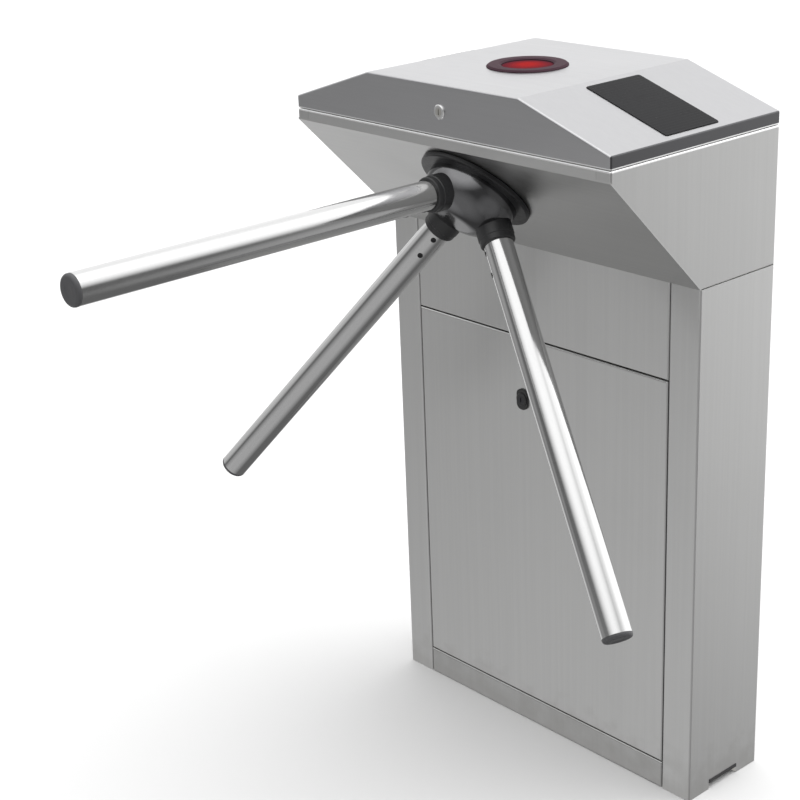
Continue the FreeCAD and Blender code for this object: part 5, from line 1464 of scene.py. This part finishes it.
@dataclass
class Mechanism:
    """Pieces behind the slanted panel, in metres in the hub's frame."""

    dresser: Dresser
    plate_back: float = -0.0195
    plate_screws: tuple[Span, ...] = ((-0.095, 0.052), (0.095, 0.052), (-0.095, -0.096), (0.095, -0.096))
    housing_flange: float = 0.008
    housing_pitch: float = 0.0415
    housing_screws: int = 6
    cap_head: float = 0.0045
    cap_height: float = 0.005
    cap_chamfer: float = 0.0006
    cap_tip: float = 0.0003
    cap_sides: int = 32
    socket_radius: float = 0.0025
    socket_depth: float = 0.0028
    overcut: float = 0.001
    wheel_level: float = -0.0828
    solenoid_x: float = 0.102
    solenoid_width: float = 0.034
    solenoid_depth: float = 0.030
    solenoid_top: float = 0.005
    solenoid_length: float = 0.050
    solenoid_plate: float = 0.003
    solenoid_foot: float = 0.024
    solenoid_gap: float = 0.0003
    solenoid_edge: float = 0.0001
    plunger_bore: float = 0.0063
    bore_stop: float = 0.002
    bore_sides: int = 48
    coil_size: Point = (0.0262, 0.0428, 0.028)
    coil_offset: float = 0.0009
    coil_corner: float = 0.009
    coil_turns: int = 28
    coil_groove: float = 0.95
    spring_level: float = -0.0928
    spring_top: float = -0.095
    spring_post: float = -0.155
    spring_radius: float = 0.007
    spring_wire: float = 0.0009
    spring_pitch: float = 0.0034
    spring_turns: int = 9
    pin_hole: float = 0.0043
    post_hole: float = 0.0053
    plug_radius: float = 0.0058
    plug_length: float = 0.007
    plug_chamfer: float = 0.0008
    plug_sides: int = 32
    eye_radius: float = 0.008
    eye_half: float = 0.0015
    eye_chamfer: float = 0.0005
    eye_sides: int = 48
    tab_overlap: float = 0.001
    tab_edge: float = 0.0004

    def build(self) -> None:
        """Dress the mechanism and add its small pieces."""
        dress = self.dresser.dress
        dress(MACHINED, "mechanism_plate", "bearing_housing", "power_supply")
        dress(PLATED_STEEL, "mechanism_posts", "index_crank", "index_pinion", "damper_pinion")
        dress(PLATED_STEEL, "left_plunger", "right_plunger", "shaft_bearings")
        dress(DARK_STEEL, "left_pawl", "right_pawl")
        dress(BRASS, "index_bush")
        dress(BLACK_PLASTIC, "damper_body", "position_sensor")
        self.cap_screws()
        self.spring()
        for name, side in zip(("left", "right"), SIGNS):
            self.solenoid(name, side)

    def cap_screws(self) -> None:
        """Socket cap screws round the bearing housing's flange and over the plate's spacers."""
        head, edge, top = self.cap_head, self.cap_chamfer, -self.cap_height
        profile = [(head, 0.0), (head, top + edge), (head - edge, top), (self.cap_tip, top)]
        pattern = Bench.turned("cap_screw", profile, self.cap_sides)
        well = [(self.socket_radius, top - self.overcut), (self.socket_radius, top + self.socket_depth)]
        Bench.cut(pattern, Bench.turned("socket", well, sides=6))
        Bench.smooth(pattern)
        face = self.plate_back - self.housing_flange
        frames = [HUB_FRAME @ Matrix.Translation((x, y, self.plate_back)) for x, y in self.plate_screws]
        for k in range(self.housing_screws):
            angle = 2.0 * math.pi * (k + 0.5) / self.housing_screws
            place = (self.housing_pitch * math.cos(angle), self.housing_pitch * math.sin(angle), face)
            frames.append(HUB_FRAME @ Matrix.Translation(place))
        obj = Bench.copies(pattern, "mechanism_cap_screws", frames)
        self.dresser.piece(obj, DARK_STEEL, "cabinet", "plated_steel")

    def spring(self) -> None:
        """Centring spring: a wound coil with a plug and an eye at each end."""
        length = self.spring_pitch * self.spring_turns
        middle = (self.spring_top + self.spring_post) / 2
        upper, lower = middle + length / 2, middle - length / 2
        level = HUB_FRAME @ Matrix.Translation((0.0, 0.0, self.spring_level))
        coil = Bench.wound("spring_coil", self.spring_radius, self.spring_wire, self.spring_pitch,
                           self.spring_turns)
        parts = [Bench.place(coil, level @ Matrix.Translation((0.0, upper, 0.0)) @ turn(90.0, "X"))]
        parts += self.spring_eye(level, upper, self.spring_top, self.pin_hole)
        parts += self.spring_eye(level, lower, self.spring_post, self.post_hole)
        obj = Bench.join("centring_spring", parts)
        Bench.smooth(obj, angle=40.0)
        self.dresser.piece(obj, SPRING_STEEL, "cabinet", "spring_steel", "index_spring")

    def spring_eye(self, level: Matrix, coil_end: float, pin: float, hole: float) -> list[Piece]:
        """Plug, tab and ring at one end of the spring.

        Args:
            level: Frame of the spring's level.
            coil_end: Where the coil ends on Y.
            pin: Where the pin stands on Y.
            hole: Radius of the ring's hole.

        Returns:
            The three shapes in their place.
        """
        way = 1.0 if pin > coil_end else -1.0
        half, edge = self.eye_half, self.eye_chamfer
        ring_profile = [(hole, -half), (self.eye_radius - edge, -half), (self.eye_radius, -half + edge),
                        (self.eye_radius, half - edge), (self.eye_radius - edge, half), (hole, half)]
        ring = Bench.turned("eye_ring", ring_profile, self.eye_sides, Ring.WALL)
        near = pin - way * (hole + self.tab_overlap)
        wide = self.plug_radius
        size = (wide, abs(near - coil_end), half * 2.0)
        tab = Bench.block("eye_tab", size, (0.0, (near + coil_end) / 2, 0.0))
        Bench.soften(tab, self.tab_edge)
        edge = self.plug_chamfer
        plug_profile = [(wide, 0.0), (wide, self.plug_length - edge), (wide - edge, self.plug_length)]
        plug = Bench.turned("eye_plug", plug_profile, self.plug_sides)
        return [
            Bench.place(ring, level @ Matrix.Translation((0.0, pin, 0.0))),
            Bench.place(tab, level),
            Bench.place(plug, level @ Matrix.Translation((0.0, coil_end, 0.0)) @ turn(90.0 * way, "X")),
        ]

    def solenoid(self, name: str, side: float) -> None:
        """Open-frame solenoid: a folded bracket with two end plates, and a wound coil between them.

        Args:
            name: Side as a word.
            side: Side as a sign on X.
        """
        plate, gap = self.solenoid_plate, self.solenoid_gap
        length, depth = self.solenoid_length, self.solenoid_depth
        middle_y = self.solenoid_top - length / 2
        wall_x = side * (self.solenoid_x + self.solenoid_width / 2 - plate / 2)
        low, high = self.wheel_level - depth / 2, self.plate_back - gap
        size = (plate, length, high - low)
        frame = Bench.block(f"{name}_solenoid_frame", size, (wall_x, middle_y, (high + low) / 2))
        size = (self.solenoid_foot - plate / 2, length - 2.0 * gap, plate)
        place = (wall_x - side * size[0] / 2, middle_y, self.plate_back - plate / 2)
        Bench.cut(frame, Bench.block("foot", size, place), keep=True)
        size = (self.solenoid_width - plate / 2, plate, depth - 2.0 * gap)
        for way in SIGNS:
            end_y = middle_y + way * (length / 2 - gap - plate / 2)
            end = Bench.block("end_plate", size, (wall_x - side * size[0] / 2, end_y, self.wheel_level))
            Bench.cut(frame, end, keep=True)
        self.bore(frame, side)
        Bench.soften(frame, self.solenoid_edge, segments=1)
        Bench.smooth(Bench.place(frame, HUB_FRAME))
        self.dresser.piece(frame, COIL_PAINT, "cabinet", "coil_black", f"{name}_solenoid")
        self.coil(f"{name}_coil", side, middle_y)

    def coil(self, name: str, side: float, middle_y: float) -> None:
        """Solenoid coil: rings are cut all round a rounded block and every second one is drawn in.

        Args:
            name: Name of the coil.
            side: Side as a sign on X.
            middle_y: Middle of the coil on Y.
        """
        length = self.coil_size[1]
        middle = (side * (self.solenoid_x - self.coil_offset), middle_y, self.wheel_level)
        obj = Bench.block(name, self.coil_size, middle)
        Bench.bevel(obj, self.coil_corner, segments=6, wanted=lambda a, b: abs(a.y - b.y) > length / 2)
        Bench.pick_edges(obj, lambda a, b: abs(a.y - b.y) > length / 2)
        bpy.ops.mesh.subdivide(number_cuts=2 * self.coil_turns - 1)
        step = length / (2 * self.coil_turns)
        low = middle_y - length / 2
        Bench.pick_edges(
            obj, lambda a, b: abs(a.y - b.y) < step / 2 and round((a.y - low) / step) % 2 == 0
        )
        drawn = (self.coil_groove, 1.0, self.coil_groove)
        bpy.ops.transform.resize(value=drawn, center_override=middle)
        bpy.ops.object.mode_set(mode="OBJECT")
        self.bore(obj, side)
        Bench.smooth(Bench.place(obj, HUB_FRAME))
        self.dresser.piece(obj, COPPER_WIRE, "cabinet", "coil_black")

    def bore(self, obj: Piece, side: float) -> None:
        """Bore a piece for the plunger, short of the solenoid's lower end.

        Args:
            obj: Piece in the hub's frame.
            side: Side as a sign on X.
        """
        stop = self.solenoid_length - self.bore_stop
        profile = [(self.plunger_bore, -self.overcut), (self.plunger_bore, stop)]
        tool = Bench.turned("bore", profile, self.bore_sides)
        start = Matrix.Translation((side * self.solenoid_x, self.solenoid_top, self.wheel_level))
        Bench.place(tool, start @ turn(90.0, "X"))
        Bench.cut(obj, tool)


@dataclass
class Electronics:
    """Control board on the head's rear panel, with its terminals, relays, chips and capacitors."""

    dresser: Dresser
    width: float = 0.170
    height: float = 0.110
    thickness: float = 0.0016
    base: float = 0.762
    wall: float = 0.0715
    standoff: float = 0.008
    edge: float = 0.008
    small_edge: float = 0.0003
    spacer_radius: float = 0.0035
    spacer_sides: int = 24
    terminals: int = 8
    terminal_pitch: float = 0.017
    terminal_size: Point = (0.014, 0.012, 0.012)
    terminal_edge: float = 0.0005
    mouth_size: Point = (0.0084, 0.008, 0.00504)
    mouth_height: float = 0.00408
    well_radius: float = 0.00336
    well_depth: float = 0.004
    well_place: float = 0.0066
    well_sides: int = 24
    overcut: float = 0.001
    relays: int = 4
    relay_pitch: float = 0.030
    relay_size: Point = (0.020, 0.016, 0.020)
    relay_rim: float = 0.0022
    relay_dish: float = 0.0012
    chips: tuple[Span, ...] = ((-0.046, 0.036), (-0.012, 0.034), (0.030, 0.037))
    chip_size: Point = (0.018, 0.0022, 0.008)
    chip_middle: float = 0.0014
    legs: int = 8
    leg_pitch: float = 0.002
    leg_size: Point = (0.0007, 0.0012, 0.0018)
    leg_row: float = 0.0045
    leg_edge: float = 0.00015
    capacitors: tuple[Span, ...] = ((0.058, 0.034), (0.070, 0.034), (-0.070, 0.036))
    capacitor: Profile = ((0.004, 0.0), (0.004, 0.0012), (0.0036, 0.0018), (0.004, 0.0024),
                          (0.004, 0.0104), (0.0034, 0.011), (0.0003, 0.011))
    capacitor_sides: int = 32

    @property
    def face(self) -> float:
        """Front face of the board on Y."""
        return self.wall - self.standoff - self.thickness

    def build(self) -> None:
        """Model the board and what stands on it."""
        self.board()
        self.terminal_row()
        self.relay_row()
        self.chip_set()
        self.capacitor_set()

    def row(self, count: int, pitch: float, height: float) -> list[Matrix]:
        """Frames of an even row on the board's face.

        Args:
            count: Pieces in the row.
            pitch: Distance from one to the next.
            height: Height of the row.

        Returns:
            A frame for each piece.
        """
        first = -(count - 1) / 2 * pitch
        return [Matrix.Translation((first + k * pitch, self.face, height)) for k in range(count)]

    def board(self) -> None:
        """Board with a bevelled edge, on four round spacers."""
        middle = (0.0, self.face + self.thickness / 2, self.base + self.height / 2)
        plate = Bench.block("board_plate", (self.width, self.thickness, self.height), middle)
        Bench.soften(plate, self.small_edge)
        parts = [plate]
        radius, edge = self.spacer_radius, self.small_edge
        profile = [(radius - edge, 0.0), (radius, edge), (radius, self.standoff)]
        for x in (-self.width / 2 + self.edge, self.width / 2 - self.edge):
            for z in (self.base + self.edge, self.base + self.height - self.edge):
                spacer = Bench.turned("board_spacer", profile, self.spacer_sides)
                place = Matrix.Translation((x, self.face + self.thickness, z))
                parts.append(Bench.place(spacer, place @ turn(-90.0, "X")))
        obj = Bench.join("control_circuit_board", parts)
        Bench.smooth(obj)
        self.dresser.piece(obj, BOARD_RESIST, "cabinet", "board_green", "control_board")

    def terminal_row(self) -> None:
        """Terminal blocks with a wire mouth and a screw well each."""
        _, deep, high = self.terminal_size
        pattern = Bench.block("terminal", self.terminal_size, (0.0, -deep / 2, high / 2))
        Bench.soften(pattern, self.terminal_edge)
        Bench.cut(pattern, Bench.block("mouth", self.mouth_size, (0.0, -deep, self.mouth_height)))
        profile = [(self.well_radius, high - self.well_depth), (self.well_radius, high + self.overcut)]
        well = Bench.turned("well", profile, self.well_sides)
        Bench.cut(pattern, Bench.place(well, Matrix.Translation((0.0, -self.well_place, 0.0))))
        Bench.smooth(pattern)
        frames = self.row(self.terminals, self.terminal_pitch, self.base + self.edge / 2)
        obj = Bench.copies(pattern, "terminal_blocks", frames)
        self.dresser.piece(obj, TERMINAL_PLASTIC, "cabinet", "board_green")

    def relay_row(self) -> None:
        """Relay cases with a dished top."""
        _, deep, high = self.relay_size
        pattern = Bench.block("relay", self.relay_size, (0.0, -deep / 2, high / 2))
        Bench.pick(pattern, lambda face: face.normal.y < -0.9)
        bpy.ops.mesh.inset(thickness=self.relay_rim)
        bpy.ops.transform.translate(value=(0.0, self.relay_dish, 0.0))
        bpy.ops.object.mode_set(mode="OBJECT")
        Bench.soften(pattern, self.small_edge)
        Bench.smooth(pattern)
        frames = self.row(self.relays, self.relay_pitch, self.base + self.height / 2)
        obj = Bench.copies(pattern, "relay_cases", frames)
        self.dresser.piece(obj, BLACK_PLASTIC, "cabinet", "black_plastic")

    def chip_set(self) -> None:
        """Flat chip packages with a row of legs on each long side."""
        pattern = Bench.block("chip", self.chip_size, (0.0, -self.chip_middle, 0.0))
        Bench.soften(pattern, self.small_edge)
        parts = [pattern]
        for side in SIGNS:
            for k in range(self.legs):
                x = (k - (self.legs - 1) / 2) * self.leg_pitch
                leg = Bench.block("leg", self.leg_size, (x, -self.leg_size[1] / 2, side * self.leg_row))
                Bench.soften(leg, self.leg_edge)
                parts.append(leg)
        pattern = Bench.join("chip", parts)
        Bench.smooth(pattern)
        frames = [Matrix.Translation((x, self.face, self.base + z)) for x, z in self.chips]
        obj = Bench.copies(pattern, "board_chips", frames)
        self.dresser.piece(obj, COIL_PAINT, "cabinet", "black_plastic")

    def capacitor_set(self) -> None:
        """Can capacitors with a rolled neck and a rounded top."""
        pattern = Bench.turned("capacitor", self.capacitor, self.capacitor_sides)
        Bench.smooth(pattern)
        places = [(x, self.face, self.base + z) for x, z in self.capacitors]
        frames = [Matrix.Translation(place) @ turn(90.0, "X") for place in places]
        obj = Bench.copies(pattern, "board_capacitors", frames)
        self.dresser.piece(obj, MACHINED, "cabinet", "machined_aluminium")


@dataclass(frozen=True)
class SoftPanel:
    """One soft panel of light in the surroundings: its direction, its edges as cosines and its strength."""

    towards: Point
    outer: float
    inner: float
    strength: float

    def glow(self, tree: Tree, direction: Socket) -> Socket:
        """Light of the panel along a direction.

        Args:
            tree: World's node tree.
            direction: Direction that is looked in.

        Returns:
            The panel's light as a socket.
        """
        lean = tree.nodes.new("ShaderNodeVectorMath")
        lean.operation = "DOT_PRODUCT"
        lean.inputs[1].default_value = Vector(self.towards).normalized()
        tree.links.new(direction, lean.inputs[0])
        return add_range(tree, lean.outputs["Value"], (self.outer, self.inner), (0.0, self.strength))


@dataclass
class Studio:
    """Floor, light and camera."""

    eye: Point = (1.59440, -1.70994, 1.40108)
    angles: Point = (68.9129, 2.174566, 48.113663)
    focal_pixels: float = 1777.5
    frame_pixels: float = 800.0
    sensor: float = 36.0
    sight: float = 400.0
    floor_size: float = 240.0
    floor_drop: float = 0.0005
    floor_tone: Colour = (0.66, 0.66, 0.66)
    floor_mottle: float = 0.985
    floor_rough: float = 0.9
    backdrop: float = 1.0
    sun_from: Point = (1.4, 1.0, 2.6)
    sun_power: float = 1.6
    sun_spread: float = 80.0
    dim: float = 0.17
    panels: tuple[SoftPanel, ...] = (
        SoftPanel((-0.30, 0.75, 0.45), 0.20, 0.85, 1.12),
        SoftPanel((0.00, -0.35, 1.00), 0.50, 0.90, 1.35),
        SoftPanel((0.45, 0.65, 0.60), 0.80, 0.97, 0.75),
        SoftPanel((0.35, 0.93, -0.25), 0.80, 0.97, 0.62),
        SoftPanel((-0.58, -0.60, -0.55), 0.86, 0.98, 0.30),
        SoftPanel((-0.84, 0.19, -0.50), 0.86, 0.99, 0.60),
        SoftPanel((0.05, -0.85, -0.50), 0.60, 0.95, 0.36),
        SoftPanel((-0.94, -0.27, 0.22), 0.86, 0.98, 0.50),
        SoftPanel((0.87, -0.12, -0.42), 0.80, 0.96, 0.25),
    )

    def build(self) -> None:
        """Make the floor, the surroundings, the light and the camera."""
        self.floor()
        self.world()
        self.sun()
        self.camera()
        bpy.context.scene.view_settings.view_transform = "Standard"

    def floor(self) -> None:
        """Large plain pale floor with a trace of mottle."""
        Bench.clear()
        bpy.ops.mesh.primitive_plane_add(size=self.floor_size, location=(0.0, 0.0, -self.floor_drop))
        obj = bpy.context.object
        obj.name = "floor"
        kit = Palette("pale_floor")
        mottle = add_noise(kit.tree, kit.coordinates, scale=3.0, detail=3.0)
        low = tuple(level * self.floor_mottle for level in self.floor_tone)
        kit.feed("Base Color", kit.mixed(mottle, low, self.floor_tone))
        kit.fixed(Roughness=self.floor_rough)
        obj.data.materials.append(kit.material)
        obj.visible_glossy = False

    def world(self) -> None:
        """Dim surroundings with a few large soft panels of light."""
        world = bpy.data.worlds.new("studio")
        bpy.context.scene.world = world
        world.use_nodes = True
        tree = world.node_tree
        direction = tree.nodes.new("ShaderNodeTexCoord").outputs["Generated"]
        level: Level = self.dim
        for panel in self.panels:
            level = add_math(tree, "ADD", panel.glow(tree, direction), level)
        seen = tree.nodes.new("ShaderNodeMix")
        seen.inputs["B"].default_value = self.backdrop
        camera_ray = tree.nodes.new("ShaderNodeLightPath").outputs["Is Camera Ray"]
        tree.links.new(camera_ray, seen.inputs["Factor"])
        tree.links.new(level, seen.inputs["A"])
        background = tree.nodes["Background"]
        background.inputs["Color"].default_value = (1.0, 1.0, 1.0, 1.0)
        tree.links.new(seen.outputs["Result"], background.inputs["Strength"])

    def sun(self) -> None:
        """Broad overhead light that whitens the floor and leaves a soft shadow."""
        data = bpy.data.lights.new("broad_light", "SUN")
        data.energy = self.sun_power
        data.angle = math.radians(self.sun_spread)
        lamp = bpy.data.objects.new("broad_light", data)
        bpy.context.scene.collection.objects.link(lamp)
        lamp.visible_glossy = False
        lamp.rotation_euler = Vector(self.sun_from).to_track_quat("Z", "Y").to_euler()

    def camera(self) -> None:
        """Camera at the photograph's place, angle and focal length."""
        data = bpy.data.cameras.new("camera")
        data.sensor_width = self.sensor
        data.lens = self.focal_pixels * self.sensor / self.frame_pixels
        data.clip_end = self.sight
        obj = bpy.data.objects.new("camera", data)
        bpy.context.scene.collection.objects.link(obj)
        obj.location = self.eye
        obj.rotation_euler = [math.radians(angle) for angle in self.angles]
        bpy.context.scene.camera = obj


def main() -> None:
    """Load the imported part, dress it and set up the studio."""
    logging.basicConfig(level=logging.INFO, format="%(message)s")
    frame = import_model()
    dresser = Dresser(frame["nodes"])
    Cabinet(dresser).build()
    Lid(dresser).build()
    Rotor(dresser).build()
    Mechanism(dresser).build()
    Electronics(dresser).build()
    Studio().build()


if __name__ == "__main__":
    main()
